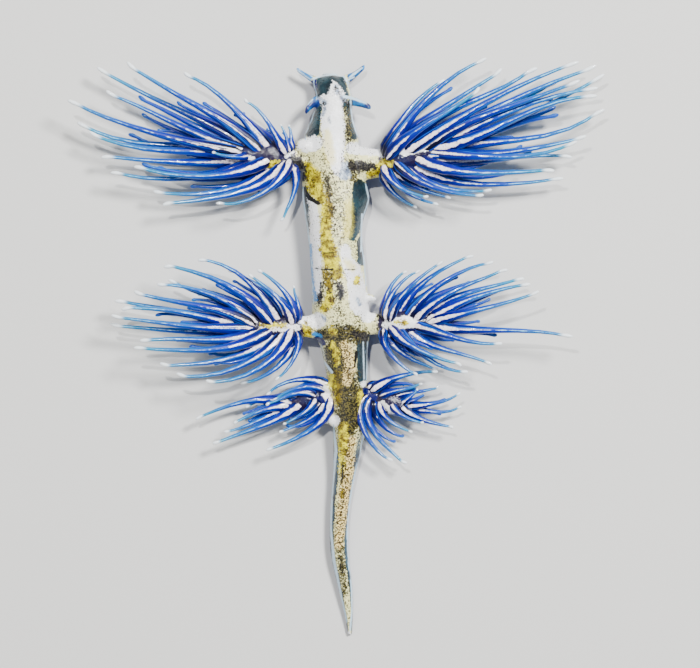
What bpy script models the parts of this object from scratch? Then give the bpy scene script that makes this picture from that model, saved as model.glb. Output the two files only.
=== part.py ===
"""Blue dragon sea slug, Glaucus atlanticus: a still, life-size model lying on its foot.

Seen from above, the head points to +Y and the slug's right side is at +X. The flat foot lies in
the plane Z = 0, and the origin is on that flat, near the middle of the body. All the tables are
in millimetres and are turned into metres where a mesh is made.
"""

import math
import random
from collections import namedtuple

import bmesh
import bpy
import numpy as np
from mathutils import Matrix, Vector

MM = 0.001
GAP = 0.3  # between neighbouring parts

# The body from tail to head: place along Y, X of the middle, half width, height of the back.
BODY = (
    (-20.4, 0.85, 0.14, 0.40),
    (-19.4, 0.80, 0.25, 0.60),
    (-17.2, 0.55, 0.50, 0.95),
    (-14.4, 0.10, 0.66, 1.25),
    (-11.5, 0.15, 0.70, 1.50),
    (-8.6, 0.50, 0.84, 1.80),
    (-6.5, 0.75, 1.10, 2.20),
    (-4.0, 0.75, 1.27, 2.60),
    (-1.9, 0.65, 1.48, 2.80),
    (0.0, 0.45, 1.66, 3.00),
    (1.7, 0.25, 2.10, 3.20),
    (2.8, 0.20, 2.04, 3.30),
    (6.0, 0.00, 1.96, 3.30),
    (8.9, -0.25, 2.02, 3.30),
    (10.8, -0.15, 2.40, 3.30),
    (12.8, -0.40, 2.10, 3.30),
    (14.2, -0.45, 1.90, 3.10),
    (15.1, -0.46, 1.94, 2.90),
    (16.4, -0.43, 1.50, 2.50),
    (17.9, -0.30, 1.30, 2.25),
    (19.2, -0.57, 1.21, 1.95),
    (19.6, -0.57, 1.00, 1.80),
)
WAIST = 0.42  # the widest place, as a share of the height
FOOT_SINK = 1.35  # how far the belly's curve would reach below the flat foot, as a ratio
SQUARENESS = 0.88  # below 1 the section is fuller than an ellipse
BODY_SIDES = 20
RING_STEP = 0.7
SNOUT_ROUND = 0.40
SNOUT_ANGLES = (70, 45, 22)

# The lengths that the body is divided into, from snout to tail tip: name, front end, rear end.
LENGTHS = (
    ("head", 19.6, 16.9),
    ("neck", 16.6, 15.2),
    ("body_front", 14.9, 9.5),
    ("body_middle", 9.2, -0.7),
    ("body_rear", -1.0, -5.8),
    ("tail_base", -6.1, -10.4),
    ("tail_middle", -10.7, -15.4),
    ("tail_tip", -15.7, -20.4),
)

# Small swellings on the body: the length they grow from, centre, radius, stretch along X.
NODULES = (
    ("body_middle", (2.05, 3.65, 2.2), 0.32, 1.9),
    ("body_rear", (-0.35, -5.05, 1.7), 0.46, 1.0),
    ("body_rear", (1.75, -2.5, 2.0), 0.30, 1.0),
)
NODULE_DETAIL = 2

# The mouth: a slit below the snout with a low lip round it.
MOUTH_PLACE = (-0.57, 19.42, 0.62)
LIP_RADII = (0.52, 0.20, 0.28)
SLIT_RADII = (0.36, 0.22, 0.07)

# Feelers: root inside the head, bend, tip and the two radii.
Feeler = namedtuple("Feeler", "root bend tip root_radius tip_radius")
FEELERS = {
    "oral_tentacle_left": Feeler((-1.1, 18.75, 1.1), (-2.1, 19.35, 1.2), (-2.95, 19.9, 1.25), 0.30, 0.16),
    "oral_tentacle_right": Feeler((0.0, 18.75, 1.1), (1.05, 19.4, 1.2), (1.9, 20.05, 1.25), 0.30, 0.16),
    "rhinophore_left": Feeler((-0.9, 17.75, 1.6), (-1.75, 17.55, 1.95), (-2.3, 16.9, 2.25), 0.32, 0.19),
    "rhinophore_right": Feeler((0.3, 17.75, 1.6), (1.4, 17.55, 1.95), (2.35, 17.15, 2.25), 0.32, 0.19),
}

# An arm: a stalk from the body (root to wrist) and a lobed hub (wrist to end) that carries the
# cerata round its rim. Each place is X, Y, Z and half width. A tip is the X, Y of one ceras, in
# order round the rim, from the one next to the body on the head's side to the one next to it on
# the tail's side. Bow is how far the first and the last ceras leave turned to the tail, in
# degrees. The tiers scale with lift, and climb raises those on the tail's side.
Arm = namedtuple("Arm", "side root wrist palm end bow lift climb tips")
ARMS = {
    "front_left": Arm(
        side=-1,
        root=(-1.3, 13.5, 1.6, 1.25),
        wrist=(-3.3, 13.6, 2.0, 0.85),
        palm=(-4.5, 13.7, 2.2, 1.30),
        end=(-6.6, 13.8, 2.4, 0.75),
        bow=(-16.0, 28.0),
        lift=1.0,
        climb=0.0,
        tips=(
            (-3.4, 15.9), (-4.1, 15.9), (-6.6, 17.7), (-8.3, 18.1), (-10.9, 19.6),
            (-14.9, 20.3), (-17.1, 20.0), (-16.4, 18.3), (-19.1, 17.6), (-18.5, 16.1),
            (-17.6, 15.4), (-8.9, 13.9), (-16.8, 13.6), (-16.1, 12.5), (-14.4, 12.9),
            (-13.1, 11.2), (-12.4, 10.2), (-8.6, 10.3), (-4.1, 9.1),
        ),
    ),
    "front_right": Arm(
        side=1,
        root=(0.6, 13.2, 1.6, 1.45),
        wrist=(3.2, 13.2, 2.0, 1.00),
        palm=(4.5, 13.6, 2.2, 1.40),
        end=(6.5, 14.1, 2.4, 0.80),
        bow=(-18.0, 26.0),
        lift=1.0,
        climb=0.0,
        tips=(
            (7.6, 19.1), (10.5, 20.6), (10.0, 18.5), (11.6, 19.9), (14.1, 19.9),
            (17.0, 20.3), (15.6, 19.0), (18.3, 20.1), (17.1, 19.0), (18.9, 19.5),
            (18.4, 18.5), (18.3, 17.9), (18.9, 17.0), (17.6, 15.1), (16.9, 14.7),
            (16.6, 13.6), (9.5, 13.9), (15.3, 12.6), (16.0, 12.1), (10.9, 11.3),
            (10.3, 10.9), (8.0, 10.7), (7.1, 10.2), (6.4, 10.8), (5.6, 10.0),
        ),
    ),
    "middle_left": Arm(
        side=-1,
        root=(-0.8, 1.6, 1.6, 1.05),
        wrist=(-2.6, 1.6, 2.1, 0.75),
        palm=(-3.6, 1.6, 2.3, 1.10),
        end=(-5.9, 1.5, 2.5, 0.65),
        bow=(-34.0, 28.0),
        lift=0.8,
        climb=0.9,
        tips=(
            (-3.2, 4.5), (-5.7, 5.6), (-6.3, 5.3), (-7.8, 5.6), (-9.9, 6.3),
            (-12.3, 5.8), (-12.0, 4.9), (-12.8, 4.6), (-14.4, 4.1), (-15.8, 3.4),
            (-15.3, 2.8), (-16.0, 2.4), (-16.1, 1.8), (-14.0, 0.6), (-14.4, 0.1),
            (-12.6, -1.0), (-11.4, -1.7), (-9.3, -2.2), (-6.9, -2.4), (-4.4, -2.2),
        ),
    ),
    "middle_right": Arm(
        side=1,
        root=(1.0, 1.8, 1.6, 1.00),
        wrist=(3.1, 1.8, 2.1, 0.75),
        palm=(4.1, 1.9, 2.3, 1.10),
        end=(6.2, 1.8, 2.5, 0.60),
        bow=(-34.0, 26.0),
        lift=0.8,
        climb=0.9,
        tips=(
            (4.9, 5.5), (5.8, 5.6), (7.4, 6.2), (9.6, 6.6), (11.0, 6.2),
            (12.0, 5.6), (13.2, 5.0), (13.6, 4.6), (14.2, 4.1), (8.9, 3.1),
            (16.6, 0.9), (11.6, 0.4), (10.9, -1.1), (9.2, -1.6), (8.7, -1.2),
            (7.1, -1.4), (5.6, -1.9),
        ),
    ),
    "rear_left": Arm(
        side=-1,
        root=(0.2, -3.3, 1.1, 1.10),
        wrist=(-1.4, -3.4, 1.3, 0.75),
        palm=(-2.1, -3.5, 1.4, 0.95),
        end=(-3.5, -4.0, 1.4, 0.55),
        bow=(-50.0, 30.0),
        lift=0.35,
        climb=0.0,
        tips=(
            (-5.1, -3.3), (-4.6, -3.6), (-5.1, -4.0), (-6.6, -4.1), (-10.1, -5.0),
            (-7.4, -5.3), (-8.1, -5.9), (-8.9, -6.7), (-3.9, -5.3), (-4.2, -5.9),
            (-5.1, -7.2),
        ),
    ),
    "rear_right": Arm(
        side=1,
        root=(1.2, -3.2, 1.1, 0.90),
        wrist=(2.85, -3.4, 1.3, 0.70),
        palm=(3.6, -3.7, 1.4, 0.95),
        end=(5.0, -4.1, 1.4, 0.50),
        bow=(-20.0, 45.0),
        lift=0.35,
        climb=0.0,
        tips=(
            (3.9, -2.1), (7.1, -1.6), (6.0, -2.5), (7.2, -2.6), (5.7, -2.9),
            (8.7, -3.1), (8.8, -4.1), (8.2, -5.6), (6.1, -5.2), (5.3, -5.9),
            (4.9, -8.1), (3.9, -7.9),
        ),
    ),
}
ARM_FLATNESS = 0.6  # height over width
ARM_RINGS = 12

# A ceras is a finger that leaves the hub at a slant, sweeps out to its tip and keeps near full
# thickness for most of its length. Each pair is a share of its length and the radius there.
CERAS_RADII = ((0.0, 0.29), (0.3, 0.26), (0.7, 0.24), (1.0, 0.13))
CERAS_STEP = 1.9  # length of one straight stretch
CERAS_STEPS = (4, 7)
CERAS_DETAIL = 1
ROOT_SPREAD = 0.72  # how far the roots stand off the hub's middle, as a share of its half width
BOW_DRAW_DEG = 3.0
TIERS = (-0.35, 0.35, 1.05)  # heights that neighbours take in turn
TIER_DRAW = 0.08
TIER_RISE = 0.45  # the share of its length over which a ceras rises to its tier

SILVER = (0.72, 0.72, 0.64)
TAN = (0.45, 0.36, 0.20)
GOLD_WHITE = (0.70, 0.64, 0.42)
BLUE = (0.02, 0.10, 0.72)
PALE_BLUE = (0.25, 0.50, 0.80)
WET = 0.25


def clear_scene():
    """Remove the objects of the open scene."""
    for old in list(bpy.data.objects):
        bpy.data.objects.remove(old, do_unlink=True)


def new_collection(name):
    """Add a collection to the scene."""
    collection = bpy.data.collections.new(name)
    bpy.context.scene.collection.children.link(collection)
    return collection


def finish(piece, colour, roughness=WET):
    """Give a piece its own Principled material."""
    material = bpy.data.materials.new(piece.name + "_finish")
    material.use_nodes = True
    shader = material.node_tree.nodes["Principled BSDF"]
    shader.inputs["Base Color"].default_value = (*colour, 1.0)
    shader.inputs["Roughness"].default_value = roughness
    shader.inputs["Metallic"].default_value = 0.0
    piece.data.materials.clear()
    piece.data.materials.append(material)
    piece.data.shade_smooth()
    piece.data.set_sharp_from_angle(angle=math.radians(40))


def mesh_object(name, bm, collection):
    """Make an object of a bmesh in millimetres, with its faces pointing out."""
    bmesh.ops.recalc_face_normals(bm, faces=bm.faces)
    bmesh.ops.triangulate(bm, faces=[face for face in bm.faces if len(face.verts) > 3])
    mesh = bpy.data.meshes.new(name)
    bm.to_mesh(mesh)
    bm.free()
    mesh.transform(Matrix.Scale(MM, 4))
    piece = bpy.data.objects.new(name, mesh)
    collection.objects.link(piece)
    return piece


def loft(name, rings, collection):
    """Skin over rings of the same count, with a flat cap at each end."""
    bm = bmesh.new()
    rows = [[bm.verts.new(point) for point in ring] for ring in rings]
    for row, following in zip(rows, rows[1:]):
        for k in range(len(row)):
            bm.faces.new((row[k - 1], row[k], following[k], following[k - 1]))
    bm.faces.new(rows[0])
    bm.faces.new(rows[-1])
    return mesh_object(name, bm, collection)


def smooth_value(keys, place):
    """Read the columns of keys at a place, on a smooth curve through the keys."""
    table = np.array(keys)
    places = table[:, 0]
    values = table[:, 1:]
    slopes = np.gradient(values, places, axis=0)
    k = int(np.clip(np.searchsorted(places, place) - 1, 0, len(places) - 2))
    span = places[k + 1] - places[k]
    t = min(max((place - places[k]) / span, 0.0), 1.0)
    return (
        (2 * t**3 - 3 * t**2 + 1) * values[k]
        + (t**3 - 2 * t**2 + t) * span * slopes[k]
        + (3 * t**2 - 2 * t**3) * values[k + 1]
        + (t**3 - t**2) * span * slopes[k + 1]
    )


def section(y, shrink=1.0, grow=0.0):
    """Ring of the body at Y: a full oval with its lower side cut flat at the foot."""
    middle, half_width, height = smooth_value(BODY, y)
    waist = WAIST * height
    ring = []
    for k in range(BODY_SIDES):
        angle = math.tau * (k + 0.5) / BODY_SIDES
        across = math.copysign(abs(math.cos(angle)) ** SQUARENESS, math.cos(angle))
        up = math.copysign(abs(math.sin(angle)) ** SQUARENESS, math.sin(angle))
        reach = (height - waist if up > 0 else waist * FOOT_SINK) + grow
        z = max(waist + up * reach * shrink, -grow)
        ring.append((middle + across * (half_width + grow) * shrink, y, z))
    return ring


def body_length(name, front, rear, collection, grow=0.0):
    """One length of the body between two planes across Y."""
    steps = max(2, round((front - rear) / RING_STEP))
    rings = [section(y, grow=grow) for y in np.linspace(rear, front, steps + 1)]
    if name == "head":
        shoulder = front - SNOUT_ROUND
        rings = [ring for ring in rings if ring[0][1] < shoulder - 0.2]
        for degrees in SNOUT_ANGLES:
            angle = math.radians(degrees)
            y = shoulder + SNOUT_ROUND * math.cos(angle)
            rings.append(section(y, shrink=math.sin(angle)))
    return loft(name, rings, collection)


def along(points, t):
    """Point at t, from 0 to 1, on a smooth curve through evenly timed points."""
    times = np.linspace(0.0, 1.0, len(points))
    return smooth_value([(time, *point) for time, point in zip(times, points)], t)


def tube(name, path, radii, collection, detail=1, flatness=1.0):
    """Round tube of changing radius along a path, closed at both ends."""
    middle = path[len(path) // 2][2]
    path = [(x, y, middle + (z - middle) / flatness) for x, y, z in path]
    curve = bpy.data.curves.new(name, "CURVE")
    curve.dimensions = "3D"
    curve.bevel_depth = max(radii) * MM
    curve.bevel_resolution = detail
    curve.use_fill_caps = True
    spline = curve.splines.new("POLY")
    spline.points.add(len(path) - 1)
    for point, place, radius in zip(spline.points, path, radii):
        point.co = (place[0] * MM, place[1] * MM, place[2] * MM, 1.0)
        point.radius = radius / max(radii)
    guide = bpy.data.objects.new(name + "_path", curve)
    collection.objects.link(guide)
    evaluated = guide.evaluated_get(bpy.context.evaluated_depsgraph_get())
    mesh = bpy.data.meshes.new_from_object(evaluated)
    bpy.data.objects.remove(guide, do_unlink=True)
    mesh.transform(Matrix.Scale(1 / MM, 4))
    bm = bmesh.new()
    bm.from_mesh(mesh)
    bpy.data.meshes.remove(mesh)
    bmesh.ops.remove_doubles(bm, verts=bm.verts, dist=0.001)
    for vert in bm.verts:
        vert.co.z = middle + (vert.co.z - middle) * flatness
    return mesh_object(name, bm, collection)


def ball(name, centre, radii, collection, detail=NODULE_DETAIL):
    """Closed round body of three radii."""
    bm = bmesh.new()
    bmesh.ops.create_icosphere(bm, subdivisions=detail, radius=1.0)
    bmesh.ops.scale(bm, vec=radii, verts=bm.verts)
    bmesh.ops.translate(bm, vec=centre, verts=bm.verts)
    return mesh_object(name, bm, collection)


def keep_largest(piece):
    """Drop everything but the largest closed surface of a piece."""
    bm = bmesh.new()
    bm.from_mesh(piece.data)
    unseen = set(bm.faces)
    shells = []
    while unseen:
        shell = {unseen.pop()}
        edge_of_shell = list(shell)
        while edge_of_shell:
            face = edge_of_shell.pop()
            for edge in face.edges:
                for other in edge.link_faces:
                    if other in unseen:
                        unseen.remove(other)
                        shell.add(other)
                        edge_of_shell.append(other)
        shells.append(shell)
    largest = max(shells, key=lambda shell: sum(face.calc_area() for face in shell))
    scraps = [face for face in bm.faces if face not in largest]
    bmesh.ops.delete(bm, geom=scraps, context="FACES")
    bm.to_mesh(piece.data)
    bm.free()


def combine(piece, tools, operation, solver="EXACT"):
    """Apply one Boolean of a piece with a collection of closed meshes, then remove these."""
    group = bpy.data.collections.new("joined_pieces")
    bpy.context.scene.collection.children.link(group)
    for tool in tools:
        for holder in list(tool.users_collection):
            holder.objects.unlink(tool)
        group.objects.link(tool)
    change = piece.modifiers.new("change", "BOOLEAN")
    change.operation = operation
    change.operand_type = "COLLECTION"
    change.collection = group
    change.solver = solver
    bpy.context.view_layer.objects.active = piece
    bpy.ops.object.modifier_apply(modifier=change.name)
    for tool in list(group.objects):
        bpy.data.objects.remove(tool, do_unlink=True)
    bpy.data.collections.remove(group)
    keep_largest(piece)


def cut_by_body(piece, cutters):
    """Cut a piece back from the body's surface by the gap."""
    envelope = body_length("body_envelope", BODY[-1][0], BODY[0][0], cutters, grow=GAP)
    combine(piece, [envelope], "DIFFERENCE")


def make_body(model):
    """Make the lengths of the body, with their swellings and the mouth."""
    for name, front, rear in LENGTHS:
        piece = body_length(name, front, rear, model)
        swellings = [
            ball("swelling", centre, (radius * stretch, radius, radius), model)
            for owner, centre, radius, stretch in NODULES
            if owner == name
        ]
        if swellings:
            combine(piece, swellings, "UNION")
        if name == "head":
            combine(piece, [ball("lip", MOUTH_PLACE, LIP_RADII, model)], "UNION")
            slit_place = Vector(MOUTH_PLACE) + Vector((0.0, LIP_RADII[1], 0.0))
            combine(piece, [ball("slit", slit_place, SLIT_RADII, model)], "DIFFERENCE")
        finish(piece, TAN if name.startswith("tail") else SILVER)


def make_feelers(model, cutters):
    """Make the two oral tentacles and the two rhinophores, parted from the head by the gap."""
    for name, feeler in FEELERS.items():
        steps = np.linspace(0.0, 1.0, 7)
        path = [along((feeler.root, feeler.bend, feeler.tip), t) for t in steps]
        radii = [feeler.root_radius + (feeler.tip_radius - feeler.root_radius) * t for t in steps]
        piece = tube(name, path, radii, model, detail=2)
        cut_by_body(piece, cutters)
        finish(piece, PALE_BLUE)


def arm_points(arm):
    """Centre line of an arm and its half widths."""
    places = (arm.root, arm.wrist, arm.palm, arm.end)
    samples = [along(places, t) for t in np.linspace(0.0, 1.0, ARM_RINGS)]
    return [sample[:3] for sample in samples], [sample[3] for sample in samples]


def wrist_cut(name, arm, cutters, beyond):
    """Box over all that lies past the wrist (beyond) or before it, from the middle of the gap."""
    reach = 20.0
    step = GAP / 2 * (-1 if beyond else 1)
    centre = arm.wrist[0] + arm.side * (step + (reach / 2 if beyond else -reach / 2))
    bm = bmesh.new()
    bmesh.ops.create_cube(bm, size=reach)
    bmesh.ops.translate(bm, vec=(centre, arm.wrist[1], 0.0), verts=bm.verts)
    return mesh_object(name, bm, cutters)


def turned(vector, degrees):
    """Turn a vector about Z."""
    return Matrix.Rotation(math.radians(degrees), 3, "Z") @ vector


def ceras_path(arm, index, draw):
    """Centre line of one ceras, from inside the hub's rim to its tip."""
    share = index / (len(arm.tips) - 1)
    outward = math.sin(math.pi * share) ** 2
    half_width = arm.palm[3] + (arm.end[3] - arm.palm[3]) * outward
    root = Vector(arm.palm[:3]).lerp(Vector(arm.end[:3]), outward)
    root.y += math.cos(math.pi * share) * half_width * ROOT_SPREAD
    tip = Vector((*arm.tips[index], root.z))
    chord = tip - root
    bow = arm.bow[0] + (arm.bow[1] - arm.bow[0]) * share + draw.uniform(-BOW_DRAW_DEG, BOW_DRAW_DEG)
    leaving = turned(chord, -arm.side * bow)
    arriving = turned(chord, arm.side * bow)
    height = arm.lift * (TIERS[index % len(TIERS)] + draw.uniform(-TIER_DRAW, TIER_DRAW))
    height += arm.climb * share
    fewest, most = CERAS_STEPS
    steps = min(max(round(chord.length / CERAS_STEP), fewest), most)
    path = []
    for t in np.linspace(0.0, 1.0, steps + 1):
        point = root * (2 * t**3 - 3 * t**2 + 1) + leaving * (t**3 - 2 * t**2 + t)
        point += tip * (3 * t**2 - 2 * t**3) + arriving * (t**3 - t**2)
        rise = min(t / TIER_RISE, 1.0)
        point.z = root.z + height * rise * rise * (3 - 2 * rise)
        path.append(point)
    return path


def make_ceras(arm, index, draw, collection):
    """Make one ceras as a closed tapered finger."""
    path = ceras_path(arm, index, draw)
    steps = np.linspace(0.0, 1.0, len(path))
    places, sizes = zip(*CERAS_RADII)
    return tube("ceras", path, np.interp(steps, places, sizes), collection, detail=CERAS_DETAIL)


def make_arm(name, arm, model, cutters):
    """Make an arm's stalk, and its hub with the cerata."""
    path, radii = arm_points(arm)
    stalk = tube("arm_" + name, path, radii, model, detail=3, flatness=ARM_FLATNESS)
    combine(stalk, [wrist_cut("past_wrist", arm, cutters, True)], "DIFFERENCE")
    cut_by_body(stalk, cutters)
    finish(stalk, GOLD_WHITE)

    hub = tube("cerata_" + name, path, radii, model, detail=3, flatness=ARM_FLATNESS)
    combine(hub, [wrist_cut("before_wrist", arm, cutters, False)], "DIFFERENCE")
    draw = random.Random(name)
    cerata = [make_ceras(arm, index, draw, model) for index in range(len(arm.tips))]
    combine(hub, cerata, "UNION")
    cut_by_body(hub, cutters)
    finish(hub, BLUE)


def main():
    """Build the whole slug."""
    clear_scene()
    model = new_collection("blue_dragon_sea_slug")
    cutters = new_collection("cutters")
    make_body(model)
    make_feelers(model, cutters)
    for name, arm in ARMS.items():
        make_arm(name, arm, model, cutters)


main()
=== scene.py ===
# %% [markdown]
# A blue dragon sea slug is a small soft animal, about 40 mm long, that looks wet, silvery and
# half clear, with fans of bright blue fingers, the cerata, on three pairs of arms. This lesson
# dresses the solid model of one, piece by piece. We start by loading that model as a frame, so
# that everything we add lands where the solids are.

# %% Load the frame
import math
import random

import bpy
import numpy as np
from mathutils import Matrix, Vector


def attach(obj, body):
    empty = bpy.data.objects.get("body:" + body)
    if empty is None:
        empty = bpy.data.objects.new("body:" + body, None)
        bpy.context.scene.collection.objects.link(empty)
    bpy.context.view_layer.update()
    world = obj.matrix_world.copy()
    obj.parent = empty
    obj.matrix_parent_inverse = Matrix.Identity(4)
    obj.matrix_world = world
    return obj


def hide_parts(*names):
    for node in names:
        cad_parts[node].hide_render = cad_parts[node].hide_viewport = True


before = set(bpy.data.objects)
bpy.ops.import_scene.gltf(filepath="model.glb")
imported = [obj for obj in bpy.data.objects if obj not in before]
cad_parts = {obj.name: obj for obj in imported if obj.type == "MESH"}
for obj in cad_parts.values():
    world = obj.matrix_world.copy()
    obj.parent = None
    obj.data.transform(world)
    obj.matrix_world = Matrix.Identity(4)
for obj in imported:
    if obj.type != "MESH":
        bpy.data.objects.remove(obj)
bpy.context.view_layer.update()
MM = 0.001
print("nodes in the frame:", len(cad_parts))

# %% [markdown]
# Operators act on whatever is selected, and the frame arrives selected. So one small helper
# selects a single object and makes it active, and another applies a modifier to it at once.


# %% Helpers for selecting and for modifiers
def pick(piece):
    """Select one object alone and make it the active one."""
    bpy.ops.object.select_all(action="DESELECT")
    piece.select_set(True)
    bpy.context.view_layer.objects.active = piece


def apply_modifier(piece, kind, **settings):
    """Add a modifier with its settings and apply it."""
    pick(piece)
    modifier = piece.modifiers.new(kind.lower(), kind)
    for key, value in settings.items():
        setattr(modifier, key, value)
    bpy.ops.object.modifier_apply(modifier=modifier.name)


def join(pieces, name):
    """Join several meshes into one object."""
    bpy.ops.object.select_all(action="DESELECT")
    for piece in pieces:
        piece.select_set(True)
    bpy.context.view_layer.objects.active = pieces[0]
    bpy.ops.object.join()
    pieces[0].name = name
    pieces[0].data.name = name
    return pieces[0]


bpy.ops.object.select_all(action="DESELECT")
print("helpers ready")

# %% [markdown]
# The body is one long tapering form, so we describe it as a modeller would: at a few places
# along it, where its middle lies, how wide it is and how high its back stands. A smooth curve
# through those values gives every ring in between. The sizes are the solid model's, in mm.

# %% Sizes of the body
# Place along Y, X of the middle, half width, height of the back.
BODY = (
    (-20.4, 0.85, 0.14, 0.40),
    (-19.4, 0.80, 0.25, 0.60),
    (-17.2, 0.55, 0.50, 0.95),
    (-14.4, 0.10, 0.66, 1.25),
    (-11.5, 0.15, 0.70, 1.50),
    (-8.6, 0.50, 0.84, 1.80),
    (-6.5, 0.75, 1.10, 2.20),
    (-4.0, 0.75, 1.27, 2.60),
    (-1.9, 0.65, 1.48, 2.80),
    (0.0, 0.45, 1.66, 3.00),
    (1.7, 0.25, 2.10, 3.20),
    (2.8, 0.20, 2.04, 3.30),
    (6.0, 0.00, 1.96, 3.30),
    (8.9, -0.25, 2.02, 3.30),
    (10.8, -0.15, 2.40, 3.30),
    (12.8, -0.40, 2.10, 3.30),
    (14.2, -0.45, 1.90, 3.10),
    (15.1, -0.46, 1.94, 2.90),
    (16.4, -0.43, 1.50, 2.50),
    (17.9, -0.30, 1.30, 2.25),
    (19.2, -0.57, 1.21, 1.95),
    (19.6, -0.57, 1.00, 1.80),
)
TAIL_TIP, SNOUT = BODY[0][0], BODY[-1][0]
BELLY_SINK = 0.15  # the round section reaches this share of its height below the flat foot


def ease(t):
    """Climb from 0 to 1 that starts and ends level."""
    return 3 * t**2 - 2 * t**3


def curve_weights(t):
    """Weights of the start, its slope, the end and its slope on a smooth curve, at t from 0 to 1."""
    return 1 - ease(t), t**3 - 2 * t**2 + t, ease(t), t**3 - t**2


def smooth_value(keys, place):
    """Read the columns of keys at a place, on a smooth curve through the keys."""
    table = np.array(keys)
    places = table[:, 0]
    values = table[:, 1:]
    slopes = np.gradient(values, places, axis=0)
    k = int(np.clip(np.searchsorted(places, place) - 1, 0, len(places) - 2))
    span = places[k + 1] - places[k]
    t = min(max((place - places[k]) / span, 0.0), 1.0)
    start, leaving, end, arriving = curve_weights(t)
    return (
        start * values[k]
        + leaving * span * slopes[k]
        + end * values[k + 1]
        + arriving * span * slopes[k + 1]
    )


print("body runs from", TAIL_TIP, "to", SNOUT, "mm")

# %% [markdown]
# Body, arms and feelers are all limbs: a ring is extruded from place to place and resized at
# each. That is box modelling with a round start, and it is quick to do by operator. The rings of
# the body face along Y and those of the arms along X, so that no ring has to be turned.


# %% Extrude a limb from ring to ring
def limb(name, faces_along, stations, sides):
    """Closed limb through stations of X, Y, Z, half width across and half height, in mm."""
    turn = (math.pi / 2, 0.0, 0.0) if faces_along == "Y" else (0.0, math.pi / 2, 0.0)
    x, y, z = stations[0][:3]
    bpy.ops.object.select_all(action="DESELECT")
    bpy.ops.mesh.primitive_circle_add(
        vertices=sides,
        radius=MM,
        fill_type="NGON",
        location=(x * MM, y * MM, z * MM),
        rotation=turn,
    )
    piece = bpy.context.active_object
    piece.name = name
    bpy.ops.object.mode_set(mode="EDIT")
    bpy.ops.mesh.select_all(action="SELECT")
    size = (1.0, 1.0)
    here = Vector((x, y, z)) * MM
    for x, y, z, wide, high in stations:
        there = Vector((x, y, z)) * MM
        if (there - here).length > 0:
            bpy.ops.mesh.extrude_region_move(TRANSFORM_OT_translate={"value": there - here})
        across, up = wide / size[0], high / size[1]
        value = (across, 1.0, up) if faces_along == "Y" else (1.0, across, up)
        bpy.ops.transform.resize(value=value, center_override=there)
        size = (wide, high)
        here = there
    bpy.ops.mesh.select_all(action="SELECT")
    bpy.ops.mesh.normals_make_consistent(inside=False)
    bpy.ops.object.mode_set(mode="OBJECT")
    pick(piece)
    bpy.ops.object.transform_apply(location=True, rotation=True, scale=True)
    return piece


def body_station(y, shrink=1.0):
    """Centre and half sizes of the body at Y."""
    middle, half_width, height = smooth_value(BODY, y)
    half_height = height * (1 + BELLY_SINK) / 2
    return (middle, y, height - half_height, half_width * shrink, half_height * shrink)


BODY_RINGS, BODY_SIDES = 74, 40
SNOUT_ROUND = 1.15  # length of the rounded snout, in mm
SNOUT_ANGLES = (76, 62, 49, 36, 24, 12)
SNOUT_BLUNTNESS = 0.72  # the lower, the blunter
stations = [body_station(y) for y in np.linspace(TAIL_TIP, SNOUT - SNOUT_ROUND, BODY_RINGS)]
for degrees in SNOUT_ANGLES:
    angle = math.radians(degrees)
    y = SNOUT - SNOUT_ROUND * (1 - math.cos(angle))
    stations.append(body_station(y, shrink=math.sin(angle) ** SNOUT_BLUNTNESS))
body = limb("body", "Y", stations, BODY_SIDES)
print("body rings:", len(stations), "faces:", len(body.data.polygons))

# %% [markdown]
# The arms are short stalks that widen into a rounded hub, and the cerata sit round the hub's rim.
# Each arm is listed with the places of its root, wrist, palm and end, and with the tip of every
# ceras in order round the rim, as measured in mm. The same list makes both arm and cerata.

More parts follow.
